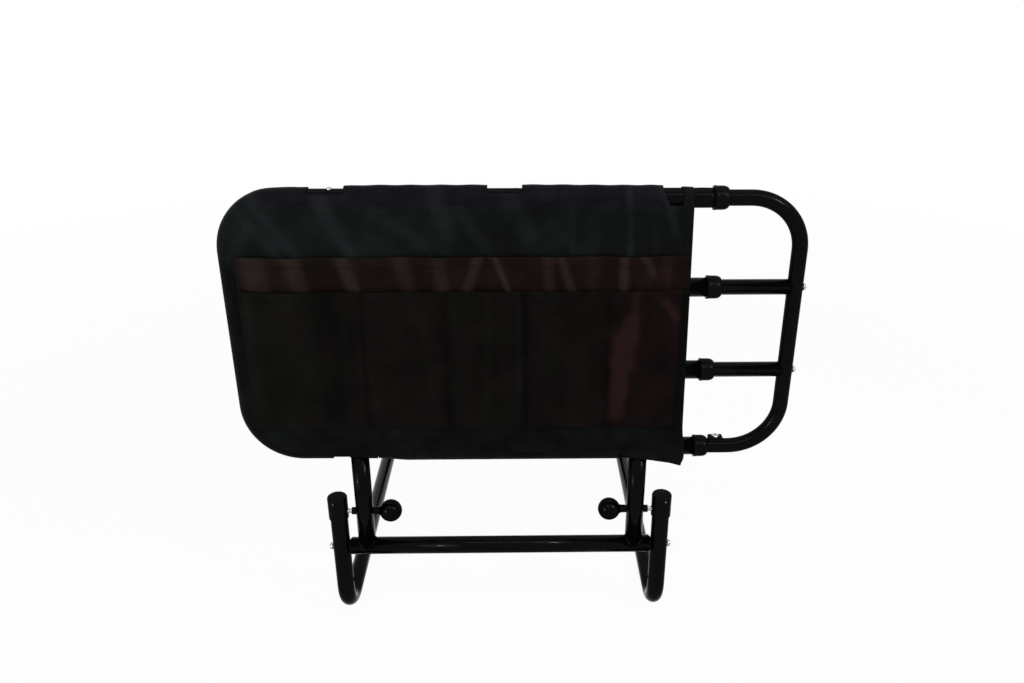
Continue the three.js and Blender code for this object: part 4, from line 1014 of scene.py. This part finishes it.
def creases(x, z, table, height):
    """Round ridges along the lines of a table."""
    return height * marks_along(x, z, table, 2, 14)


def sheen_patches(x, z, table):
    """Flat-topped marks of painted sheen along the lines of a table, cut off soon past their ends."""
    return marks_along(x, z, table, 4, 7)


def spaced(edges, cell, least):
    """Numbers about a cell apart that meet every edge, with at least so many cells between two edges."""
    runs = [np.linspace(a, b, max(round((b - a) / cell), least) + 1)[:-1] for a, b in zip(edges, edges[1:])]
    return np.concatenate([*runs, edges[-1:]])


def inside(value, bounds):
    return (value > bounds[0]) & (value < bounds[1])


def cell_middles(values):
    return (values[:-1, :-1] + values[1:, 1:]) / 2


def ripple(x, z):
    """Low waves: a sum of weight * sin(kx x + kz z + phase)."""
    return sum(weight * np.sin(kx * x + kz * z + phase) for kx, kz, phase, weight in WAVES)


def step_up(value, low, high):
    """0 up to low, 1 from high on, and a smooth curve 3t^2 - 2t^3 between."""
    t = np.clip((value - low) / (high - low), 0, 1)
    return t * t * (3 - 2 * t)


def cover_face(x, z, size):
    """How far the cover's front stands off the panel's plane: the sleeve's radius, low waves and creases,
    which die out towards the tubes and under the pockets, and a hem along the right-hand edge."""
    calm = step_up(z, LOW_Z - 2, LOW_Z + 22) * (1 - step_up(z, TOP_Z - 24, TOP_Z))
    calm = 0.12 + 0.88 * calm * step_up(x, LOOP_FAR_LEFT + 8, LOOP_FAR_LEFT + 34)
    pocketed = step_up(x, POCKET_LEFT, POCKET_LEFT + 8) * (1 - step_up(x, POCKET_RIGHT - 8, POCKET_RIGHT))
    pocketed *= step_up(z, POCKET_LOW, POCKET_LOW + 8) * (1 - step_up(z, REAR_TOP - 14, REAR_TOP - 4))
    wavy = 0.55 + 0.5 * ripple(x, z) + creases(x, z, COVER_CREASES, size["folds"])
    hem = 0.5 * step_up(x, COVER_RIGHT - 12.5, COVER_RIGHT - 11.5)
    return size["sleeve"] + np.maximum(wavy * calm * (1 - pocketed), -0.2) + hem


def sag(x):
    """Drop of the pockets' free top edges between their seams, in millimetres."""
    return 0.8 * np.sin(x / 31.0) ** 2 + 0.35 * np.sin(x / 12.3 + 1)


def sewn(x, z, seams, low, fade):
    """1 in the open field of a pocket, 0 at its seams and its bottom: a product of 1 - exp(-(d / fade)^2)."""
    field = 1 - np.exp(-((z - low) / fade) ** 2)
    for seam in seams:
        field = field * (1 - np.exp(-((x - seam) / fade) ** 2))
    return field


def rear_face(x, z, size):
    """The rear pocket's sheet lies on the cover at its seams and stands off it in between."""
    free = sewn(x, z, (POCKET_LEFT, POCKET_RIGHT), POCKET_LOW, 16)
    lift = 1.6 * step_up(z, POCKET_LOW, REAR_TOP) ** 1.5 + 0.6
    folds = creases(x, z, BAND_CREASES, size["folds"] * 0.8) + 0.6 * ripple(x + 300, z)
    return size["sleeve"] + size["cloth"] + 1.1 + free * np.maximum(lift + folds, 0.2)


def front_face(x, z, size):
    """The front pocket's sheet lies on the rear pocket's at its dividers and swells between them."""
    seams = (POCKET_LEFT, *DIVIDERS, POCKET_RIGHT)
    free = sewn(x, z, seams, POCKET_LOW, 9)
    lift = 1.5 + 2.6 * step_up(z, POCKET_LOW, FRONT_TOP)
    folds = creases(x, z, FRONT_CREASES, size["folds"]) + 0.6 * ripple(x - 500, z)
    return rear_face(x, z, size) + size["cloth"] + 0.25 + free * np.maximum(lift + folds, 0.1)


def cover_columns(size):
    """Places of the cover's columns, from the end of the left-hand bends to its right-hand edge."""
    bend_x = left_line(size) + size["corner"]
    return spaced(sorted({bend_x, CORNER_LEFT, *np.ravel(TOP_GAPS + LOW_GAPS).tolist(), COVER_RIGHT}),
                  COVER_CELL, 1)


def cover_rows(size):
    """The cover's left-hand edge, which follows the tube's centre line through both bends: its x and z in
    each row, from the top down."""
    corner = size["corner"]
    turn = np.linspace(0, math.pi / 2, BEND_ROWS + 1)
    high = TOP_Z - corner * (1 - np.cos(turn))
    low = LOW_Z + corner * (1 - np.cos(turn[::-1]))
    straight = np.linspace(high[-1], low[0], SIDE_ROWS + 1)[1:-1]
    inset = corner * (1 - np.sin(turn))
    starts = left_line(size) + np.concatenate([inset, 0 * straight, inset[::-1]])
    return starts, np.concatenate([high, straight, low])


def lean(x, z):
    """Shift of the cloth near its right-hand edge, which leans, out at the bottom and in at the top, and
    flares round the lowest tube, and of the slanting left-hand edge of the last gap before the top tube."""
    height = (z - LOW_Z) / (TOP_Z - LOW_Z)
    leaning = (3.4 - 6.4 * height) * step_up(x, COVER_RIGHT - 90, COVER_RIGHT - 5)
    flare = step_up(z, LOW_Z - 21, LOW_Z - 9) * (1 - step_up(z, LOW_Z - 4, LOW_Z + 36))
    leaning += 3.5 * flare * step_up(x, COVER_RIGHT - 60, COVER_RIGHT)
    edge = TOP_GAPS[-1][0]
    beside = step_up(x, edge - 34, edge) * (x < edge + 0.1)
    return leaning - 0.43 * np.clip(z - TOP_Z + TOP_CUT, 0, TOP_CUT + 11) * beside


def cover_sheets(size):
    """The cover's front and back sheets, and the sleeve that joins them round the tubes."""
    columns = cover_columns(size)
    starts, rows = cover_rows(size)
    near = np.linspace(0, 1, BEND_COLUMNS + 1)[:-1]
    x = np.concatenate([starts[:, None] + near * (columns[0] - starts[:, None]),
                        np.broadcast_to(columns, (len(rows), len(columns)))], 1)
    z = np.broadcast_to(rows[:, None], x.shape)
    flat = np.stack([x, z], -1)
    front_y = -cover_face(x, z, size)
    front = Grid(np.stack([x, front_y, z], -1)[::-1], flat=flat[::-1], keep=front_cells(x, z)[::-1],
                 marks={key: value[::-1] for key, value in cover_marks(x, z).items()})
    back_y = (size["sleeve"] - front_y) / 2
    back = Grid(np.stack([x, back_y, z], -1), keep=back_cells(x, z), flat=flat * [-1, 1] + [BACK_FLAT_X, 0],
                marks={"tone": 0.3 + 0.2 * ripple(x, z)})
    return front, back, sleeve(size, x, z, front_y, back_y)


def cover_marks(x, z):
    """The marks of the cover's cloth: its ribs, tone and warmth."""
    return {"rib": rib_mask(x, z), "tone": cover_tone(x, z), "warm": cover_warmth(z)}


def cover_tone(x, z):
    """0 where the cover's cloth is darkest and 1 where it is palest: paler above the pockets, a painted sheen
    on the creases, and broad clouds from the low waves."""
    over_pockets = step_up(z, REAR_TOP - 30, REAR_TOP + 12)
    above = 0.23 * over_pockets * (1 + 0.5 * (1 - step_up(x, -140, 40)))
    clouds = 0.09 * ripple(x * 1.6, z * 1.3) + 0.06 * ripple(z * 4.1, x * 3.7)
    crease_sheen = (0.12 + 0.28 * over_pockets) * sheen_patches(x, z, COVER_CREASES)
    strip = 0.06 * (1 - step_up(x, POCKET_LEFT - 6, POCKET_LEFT + 4))
    return 0.07 - strip + above + clouds + crease_sheen


def cover_warmth(z):
    """1 on the sleeve round the top tube, whose cloth has a touch of violet."""
    return step_up(z, TOP_Z - 7, TOP_Z - 2)


def front_cells(x, z):
    """The front's cells: all but those before the top tube at the last gap of its sleeve."""
    return ~(inside(cell_middles(x), TOP_GAPS[-1]) & (cell_middles(z) > TOP_Z - TOP_CUT))


def rib_mask(x, z):
    """Where the ribs show: near the tubes along the top, strongest at the left and fading past the middle."""
    near_tube = step_up(z, TOP_Z - 10, TOP_Z - 3)
    return near_tube * (0.35 + 0.65 * (1 - step_up(x, -120, -60)))


def back_cells(x, z):
    """The back's cells: all of the sock at the left, and flaps along the top and lowest tubes, less the gaps
    and with a short end of flap at the right."""
    x, z = cell_middles(x), cell_middles(z)
    top_band, low_band = z > TOP_Z - BACK_FLAP - 3, z < LOW_Z + BACK_FLAP + 3
    keep = (x < SOCK_END) | (z > TOP_Z - BACK_FLAP) | (z < LOW_Z + BACK_FLAP)
    for gap in TOP_GAPS:
        keep &= ~(inside(x, gap) & top_band)
    keep &= ~((x > TOP_GAPS[-1][1]) & top_band & (z < TOP_Z - LOOP_FLAP))
    for gap in LOW_GAPS:
        keep &= ~(inside(x, gap) & low_band)
    return keep


def rim(values):
    """A sheet's values along its top row from the right, down its left-hand side and along its lowest row."""
    return np.concatenate([values[0, ::-1], values[1:-1, 0], values[-1]])


def sleeve_slack(x, z):
    """How much wider the sleeve is than its plain radius: loose round the top tube and the lowest one, less
    so to the right, and tight at its last loop."""
    top = 2.2 * step_up(x, COVER_SEAM_LEFT, -120) - 0.7 * step_up(x, 40, 160)
    top -= 2.1 * step_up(x, COVER_RIGHT - 20, COVER_RIGHT - 12)
    return np.where(z < LOW_Z + 1, 3.4 * step_up(x, -150, -110), np.where(z > TOP_Z - 1, top, 0))


def sleeve_cells(size, x, z, a):
    """The sleeve's cells: all but those of the gaps. At the top gaps but the last, the front's edge stays."""
    middle_x, middle_a = (x[:-1] + x[1:]) / 2, (a[:-1] + a[1:]) / 2
    top_run, low_run = z[:-1] > TOP_Z - 1, z[1:] < LOW_Z + 1
    past_edge = middle_a > math.asin(GAP_EDGE / size["sleeve"])
    keep = np.ones((len(middle_x), len(middle_a)), bool)
    for gap in TOP_GAPS:
        keep &= ~((top_run & inside(middle_x, gap))[:, None] & (past_edge | (gap == TOP_GAPS[-1])))
    for gap in LOW_GAPS:
        keep &= ~(low_run & inside(middle_x, gap))[:, None]
    return keep


def sleeve(size, x, z, front_y, back_y, steps=16):
    """The half turn round the tubes: from a point of the edge line, out by r sin a and back by -r cos a, for
    a from 0 at the front to a half turn at the back."""
    corner, run = size["corner"], x.shape[1] - BEND_COLUMNS
    x, z, front_y, back_y = (rim(values) for values in (x, z, front_y, back_y))
    out = np.stack([np.minimum(x - left_line(size) - corner, 0),
                    np.maximum(z - TOP_Z + corner, 0) + np.minimum(z - LOW_Z - corner, 0)], -1)
    out[:run, 0] = 0
    out[-run:, 0] = 0
    out = unit(out)
    a = np.linspace(0, math.pi, steps + 1)
    share = (1 - np.cos(a)) / 2
    depth = front_y[:, None] * (1 - share) + back_y[:, None] * share
    reach = (size["sleeve"] + sleeve_slack(x, z)[:, None]) * np.sin(a)
    reach += 0.25 * np.sin(x / 5.3)[:, None] * np.sin(a) ** 2 * (z > TOP_Z - 5)[:, None]
    points = np.stack([x[:, None] + out[:, :1] * reach, depth, z[:, None] + out[:, 1:] * reach], -1)
    arc = np.concatenate([[0], np.cumsum(np.hypot(np.diff(x), np.diff(z)))])
    flat = np.stack(np.broadcast_arrays(-arc[:, None], SLEEVE_FLAT_Z + size["sleeve"] * a), -1)
    marks = {key: np.broadcast_to(value[:, None], depth.shape) for key, value in cover_marks(x, z).items()}
    return Grid(points, flat=flat, marks=marks, keep=sleeve_cells(size, x, z, a))


def skirt(size, low_x, high_x, drop, corner_drop):
    """Cloth that hangs straight past the lowest tube, between two gap edges, with a wavy free edge."""
    columns = cover_columns(size)
    x = columns[(columns >= low_x - 1e-6) & (columns <= high_x + 1e-6)]
    share = np.linspace(1, 0, 7)[:, None]
    fall = drop + (corner_drop - drop) * (x - low_x) / (high_x - low_x) + 0.3 * np.sin(x / 7.0)
    z = LOW_Z - share * fall
    x = np.broadcast_to(x, z.shape)
    y = -cover_face(x, np.full(z.shape, LOW_Z), size) - 0.8 * share ** 2 * (1 + np.sin(x / 9.0))
    return Grid(np.stack([x, y, z], -1), flat=np.stack([x, z], -1), marks=cover_marks(x, z))


def make_cover():
    size = sizes()
    sheets = [*cover_sheets(size), skirt(size, SOCK_END, STRAP_LEFT, 3.8, 7.2),
              skirt(size, STRAP_RIGHT, CORNER_LEFT, 9, 12), skirt(size, CORNER_LEFT, COVER_RIGHT, 12, 21)]
    for sheet in sheets:
        sheet.points[..., 0] += lean(sheet.points[..., 0], sheet.points[..., 2])
    cover = make_piece("organizer_cover", "rail_frame", "cover_nylon", sheets, "pouch_cover",
                       wall=size["cloth"], closed=False, crease=60)


def pocket_hem(z, top):
    """How far the hem along a pocket's top edge stands off its sheet."""
    return HEM_RISE * step_up(z, top - HEM_DEPTH - 0.5, top - HEM_DEPTH + 0.5)


def binding(x):
    """1 on the binding along the pockets' right-hand edge."""
    return step_up(x, POCKET_RIGHT - 9, POCKET_RIGHT - 7)


def rear_marks(x, z):
    """Tone of the rear pocket: painted sheen on its folds over a darker ground, and warmer towards the
    right-hand edge.
    """
    # pale is the painted sheen along the rear pocket's folds
    pale, bound = sheen_patches(x, z, BAND_CREASES), binding(x)
    tone = 0.06 + 0.14 * ripple(x * 2.2, z) + 0.85 * pale
    warm = (0.3 + 0.6 * step_up(x, POCKET_LEFT - 60, POCKET_RIGHT)) * (1 - 0.6 * np.clip(pale, 0, 1))
    return {"tone": tone * (1 - bound) - 0.1 * bound, "warm": warm * (1 - bound)}


def front_marks(x, z):
    """Tone of the front pocket: a dull ground that darkens to the right, painted shade in a dip beside the
    first divider and along the lines of the dividers, painted sheen on its creases, and a pale and warm
    painted sheen down a crease in the last compartments."""
    ground = 0.3 - 0.12 * step_up(x, POCKET_LEFT, POCKET_RIGHT) + 0.1 * ripple(x * 1.8, z * 0.7)
    # dark is painted shade along the divider seams, and the next mark painted shade beside the first divider
    dark = sum(0.16 * np.exp(-((x - seam) / 4) ** 2) for seam in DIVIDERS)
    hollow_shade = 0.2 * np.exp(-((x + 192) / 15) ** 4)
    fold_sheen, bound = np.clip(sheen_patches(x, z, STREAK_SHEEN), 0, 1), binding(x)
    tone = ground - dark - hollow_shade + 0.3 * sheen_patches(x, z, FRONT_CREASES) + 0.85 * fold_sheen
    warm = 0.7 * step_up(x, 60, 175) + 0.22 * step_up(x, -190, -150) + 0.3 * ripple(z * 1.7, x * 2.3)
    warm = np.clip(fold_sheen + warm, 0, 1)
    return {"tone": tone * (1 - bound) + 0.05 * bound, "warm": warm * (1 - bound)}


def pocket_sheet(top, face, size, seams, marks):
    """A pocket's front sheet, with its top edge turned over into a hem."""
    height = top - POCKET_LOW
    x = spaced([POCKET_LEFT, *seams, POCKET_RIGHT], POCKET_CELL, 2)
    x, share = np.broadcast_arrays(x, np.linspace(1, 0, round(height / POCKET_CELL) + 1)[:, None])
    z = top - share * height
    z = z - sag(x) * step_up(z, POCKET_LOW, top) ** 3
    y = -face(x, z, size) - pocket_hem(z, top)
    return Grid(np.stack([x, y, z], -1), flat=np.stack([x, z], -1), marks=marks(x, z))


def make_pocket(name, top, face, seams, marks, finish=None):
    """A pocket's sheet, with a wall of cloth, on the rail frame in place of its CAD node."""
    size = sizes()
    pocket = make_piece(name, "rail_frame", "pocket_nylon", [pocket_sheet(top, face, size, seams, marks)],
                        f"pouch_{name}", finish, wall=size["cloth"] * 0.8, closed=False, crease=60)


def make_pockets():
    make_pocket("rear_pocket", REAR_TOP, rear_face, (), rear_marks, "rear_pocket")
    make_pocket("front_pocket", FRONT_TOP, front_face, DIVIDERS, front_marks)


def stitches(line, face, size):
    """A row of stitches along a line of x and z on a face: each is a short thread, thick in the middle and
    sunk at both ends, that covers two thirds of the pitch."""
    pitch, half_share, thread_r, rise, sunk = size["stitch"], 0.34, 0.26, 0.16, 0.03
    line = np.array(line, float)
    reach = np.concatenate([[0], np.cumsum(np.hypot(*np.diff(line, axis=0).T))])
    start = np.arange(0.5, reach[-1] / pitch) * pitch
    share = np.array([-1, -0.6, 0, 0.6, 1])
    at = start[:, None] + share * pitch * half_share
    x, z = np.interp(at, reach, line[:, 0]), np.interp(at, reach, line[:, 1])
    centres = np.stack([x, -face(x, z, size) - rise * (1 - share ** 2) + sunk, z], -1)
    way = unit(centres[:, -1] - centres[:, 0])
    beside = unit(np.cross(way, Y))
    above = np.cross(beside, way)
    radius = thread_r * np.array([0.0, 0.8, 1.0, 0.8, 0.0])
    angle = np.linspace(0, TURN, 6, endpoint=False)
    ring = np.cos(angle)[:, None, None] * beside + np.sin(angle)[:, None, None] * above
    points = centres[:, :, None] + radius[None, :, None, None] * ring.transpose(1, 0, 2)[:, None]
    return [Grid(p, wrap=True) for p in points]


def make_seams():
    size = sizes()
    left, right, low = POCKET_LEFT + 2.5, POCKET_RIGHT - 2.5, POCKET_LOW + 2.5
    front_high, rear_high, rear_low = FRONT_TOP - 4, REAR_TOP - 3, FRONT_TOP + 2
    long, edge = np.linspace(left, right, 60), COVER_RIGHT - 10

    def front_hem(x, z, size):
        return front_face(x, z, size) + pocket_hem(z, FRONT_TOP)

    def rear_hem(x, z, size):
        return rear_face(x, z, size) + pocket_hem(z, REAR_TOP)

    seams = [
        (front_hem, [(left, front_high), (left, low), (right, low), (right, front_high)]),
        *[(rear_hem, [(x, rear_high), (x, rear_low)]) for x in (left, right)],
        *[(front_hem, [(x, front_high), (x, low)]) for x in DIVIDERS],
        (front_hem, np.stack([long, FRONT_TOP - 11 - sag(long)], -1)),
        (rear_hem, np.stack([long, REAR_TOP - 11 - sag(long)], -1)),
        (cover_face, [(edge + lean(edge, z), z) for z in (TOP_Z - 14, LOW_Z + 4)]),
        *[(cover_face, [(COVER_SEAM_LEFT, z), (COVER_RIGHT - 3, z)]) for z in (TOP_Z - 15, LOW_Z + 15)],
    ]
    threads = [thread for face, line in seams for thread in stitches(line, face, size)]
    make_piece("seam_stitches", "rail_frame", "cover_nylon", threads, finish="thread")


# Stage

PANEL_MIDDLE = np.array([0.0, -0.24, 0.35])

# Lamps: name, way from the panel's middle and how many times as far, width, power, and a rectangle's height
LAMPS = (
    ("softbox_left", (-0.77, -0.64, 0.10), 1.9, 1.0, 8, None),
    ("softbox_right", (0.66, -0.44, 0.61), 1.9, 1.0, 6, None),
    ("overhead", (0.0, 0.5, 2.2), 1.0, 1.8, 5, 0.9),
    ("strip", (0.0, -0.53, 0.85), 1.9, 2.4, 10, 0.05),
    ("spark_left", (-0.77, -0.64, 0.10), 1.86, 0.08, 4, None),
    ("spark_right", (0.70, -0.46, 0.55), 1.86, 0.07, 7, 0.3),
)


def softbox(name, way, distance, width, power, height):
    """A round lamp, or a rectangle if it has a height, that faces the panel's middle."""
    lamp = bpy.data.lights.new(name, "AREA")
    lamp.size = width
    lamp.shape = "RECTANGLE" if height else "DISK"
    if height:
        lamp.size_y = height
    lamp.energy = power
    holder = put_in_scene(name, lamp)
    place = PANEL_MIDDLE + np.array(way) * distance
    holder.location = place
    holder.rotation_euler = Vector(PANEL_MIDDLE - place).to_track_quat("-Z", "Y").to_euler()


def seen_rays(tree):
    """1 for the rays that show a surround: the camera's, and those that gloss or glass mirror or let
    through."""
    ray = add_node(tree, "ShaderNodeLightPath").outputs
    shown = math_node(tree, "MAXIMUM", ray["Is Camera Ray"], ray["Is Glossy Ray"])
    return math_node(tree, "MAXIMUM", shown, ray["Is Transmission Ray"])


def floor_material(shade):
    """A pale matt floor that shows the camera and mirrors a white of strength 1, and keeps part of its
    shading near the middle."""
    material, tree, shader = new_material("Pale_floor")
    set_inputs(shader, Base_Color=shade, Roughness=0.9, Specular_IOR_Level=0.1)
    glow = add_node(tree, "ShaderNodeEmission", Color=(1, 1, 1, 1), Strength=1.0)
    place = add_node(tree, "ShaderNodeTexCoord").outputs["Object"]
    reach = add_node(tree, "ShaderNodeVectorMath", {"operation": "LENGTH"}, i0=place).outputs["Value"]
    level = add_node(tree, "ShaderNodeMapRange", Value=reach, From_Min=1.0, From_Max=2.6, To_Min=0.955,
                     To_Max=1.0)
    share = math_node(tree, "MULTIPLY", seen_rays(tree), level.outputs[0])
    mixed = add_node(tree, "ShaderNodeMixShader", i0=share, i1=shader.outputs[0], i2=glow.outputs[0])
    tree.links.new(mixed.outputs[0], tree.nodes["Material Output"].inputs["Surface"])
    return material


def make_floor(half=30.0, drop=0.0003):
    """A square floor, sunk a little so that no piece lies in its plane."""
    mesh = bpy.data.meshes.new("floor")
    mesh.from_pydata([(-half, -half, 0), (half, -half, 0), (half, half, 0), (-half, half, 0)], [],
                     [(0, 1, 2, 3)])
    mesh.materials.append(floor_material(tuple(bpy.context.scene.guard_rail_colours.floor)))
    floor = put_in_scene("floor", mesh)
    floor.location.z = -drop


def make_surround():
    """A surround that the camera and mirrors see as white, and that lights the part less."""
    white = (1.0, 1.0, 1.0, 1.0)
    world = bpy.data.worlds.new("Soft_surround")
    world.use_nodes = True
    tree = world.node_tree
    back = tree.nodes["Background"]
    set_inputs(back, Color=white, Strength=0.3)
    seen = add_node(tree, "ShaderNodeBackground", Color=white, Strength=1.0)
    mixed = add_node(tree, "ShaderNodeMixShader", i0=seen_rays(tree), i1=back.outputs[0], i2=seen.outputs[0])
    tree.links.new(mixed.outputs[0], tree.nodes["World Output"].inputs["Surface"])
    bpy.context.scene.world = world


def make_camera():
    """The pinhole camera that was fitted to the photograph."""
    lens = bpy.data.cameras.new("photo_camera")
    lens.sensor_width = 36
    lens.lens = 31.10
    lens.shift_x = -0.0206
    lens.shift_y = 0.0082
    camera = put_in_scene("photo_camera", lens)
    camera.location = (0.00375, -1.1965, 0.8092)
    camera.rotation_euler = tuple(math.radians(a) for a in (66.3389, -0.0717, -0.9260))
    bpy.context.scene.camera = camera


def make_stage():
    make_floor()
    make_surround()
    for lamp in LAMPS:
        softbox(*lamp)
    make_camera()
    bpy.context.scene.view_settings.view_transform = "Standard"


# Operators, panel and registration

class BaseOperator(bpy.types.Operator):
    """Builds the two bent arms, their caps and plugs, and the rear cross tube"""
    bl_idname = "guard_rail.base"
    bl_label = "Base"

    def execute(self, context):
        make_base()
        return {"FINISHED"}


class HingeOperator(bpy.types.Operator):
    """Builds the hinge's bolts, washers and nuts"""
    bl_idname = "guard_rail.hinge"
    bl_label = "Hinge fasteners"

    def execute(self, context):
        make_hinge()
        return {"FINISHED"}


class FixedHalfOperator(bpy.types.Operator):
    """Builds the fixed loop, its rails and posts, the welds and the collars"""
    bl_idname = "guard_rail.fixed_half"
    bl_label = "Fixed half"

    def execute(self, context):
        make_fixed_half()
        return {"FINISHED"}


class LocksOperator(bpy.types.Operator):
    """Builds the barrels, springs, pins and ball knobs"""
    bl_idname = "guard_rail.locks"
    bl_label = "Locks"

    def execute(self, context):
        make_locks()
        return {"FINISHED"}


class SlidingHalfOperator(bpy.types.Operator):
    """Builds the sliding loop, its rails, bolts, glides and button"""
    bl_idname = "guard_rail.sliding_half"
    bl_label = "Sliding half"

    def execute(self, context):
        make_sliding_half()
        return {"FINISHED"}


class StopOperator(bpy.types.Operator):
    """Builds the travel stop and its screw"""
    bl_idname = "guard_rail.travel_stop"
    bl_label = "Travel stop"

    def execute(self, context):
        make_stop()
        return {"FINISHED"}


class CoverOperator(bpy.types.Operator):
    """Builds the organizer's cover"""
    bl_idname = "guard_rail.cover"
    bl_label = "Cover"

    def execute(self, context):
        make_cover()
        return {"FINISHED"}


class PocketsOperator(bpy.types.Operator):
    """Builds the organizer's two pockets"""
    bl_idname = "guard_rail.pockets"
    bl_label = "Pockets"

    def execute(self, context):
        make_pockets()
        return {"FINISHED"}


class SeamsOperator(bpy.types.Operator):
    """Builds the stitches of the organizer's seams"""
    bl_idname = "guard_rail.seams"
    bl_label = "Seams"

    def execute(self, context):
        make_seams()
        return {"FINISHED"}


class StageOperator(bpy.types.Operator):
    """Builds the floor, the lamps, the surround and the photograph's camera"""
    bl_idname = "guard_rail.stage"
    bl_label = "Stage"

    def execute(self, context):
        make_stage()
        return {"FINISHED"}


OPERATORS = (BaseOperator, HingeOperator, FixedHalfOperator, LocksOperator, SlidingHalfOperator, StopOperator,
             CoverOperator, PocketsOperator, SeamsOperator, StageOperator)


class GuardRailPanel(bpy.types.Panel):
    """Sizes, colours and pieces of the guard rail"""
    bl_idname = "VIEW3D_PT_guard_rail"
    bl_label = "Guard rail"
    bl_space_type = "VIEW_3D"
    bl_region_type = "UI"
    bl_category = "Guard Rail"

    def draw(self, context):
        for group in (context.scene.guard_rail_sizes, context.scene.guard_rail_colours):
            box = self.layout.box()
            for key in type(group).__annotations__:
                box.prop(group, key)
        for operator in OPERATORS:
            self.layout.operator(operator.bl_idname)


CLASSES = (RailSizes, RailColours, *OPERATORS, GuardRailPanel)


def register():
    for cls in CLASSES:
        bpy.utils.register_class(cls)
    bpy.types.Scene.guard_rail_sizes = bpy.props.PointerProperty(type=RailSizes)
    bpy.types.Scene.guard_rail_colours = bpy.props.PointerProperty(type=RailColours)


def unregister():
    del bpy.types.Scene.guard_rail_colours
    del bpy.types.Scene.guard_rail_sizes
    for cls in reversed(CLASSES):
        bpy.utils.unregister_class(cls)


def main():
    register()
    make_finishes(bpy.context.scene.guard_rail_colours)
    for operator in OPERATORS:
        family, name = operator.bl_idname.split(".")
        getattr(getattr(bpy.ops, family), name)()


if __name__ == "__main__":
    main()
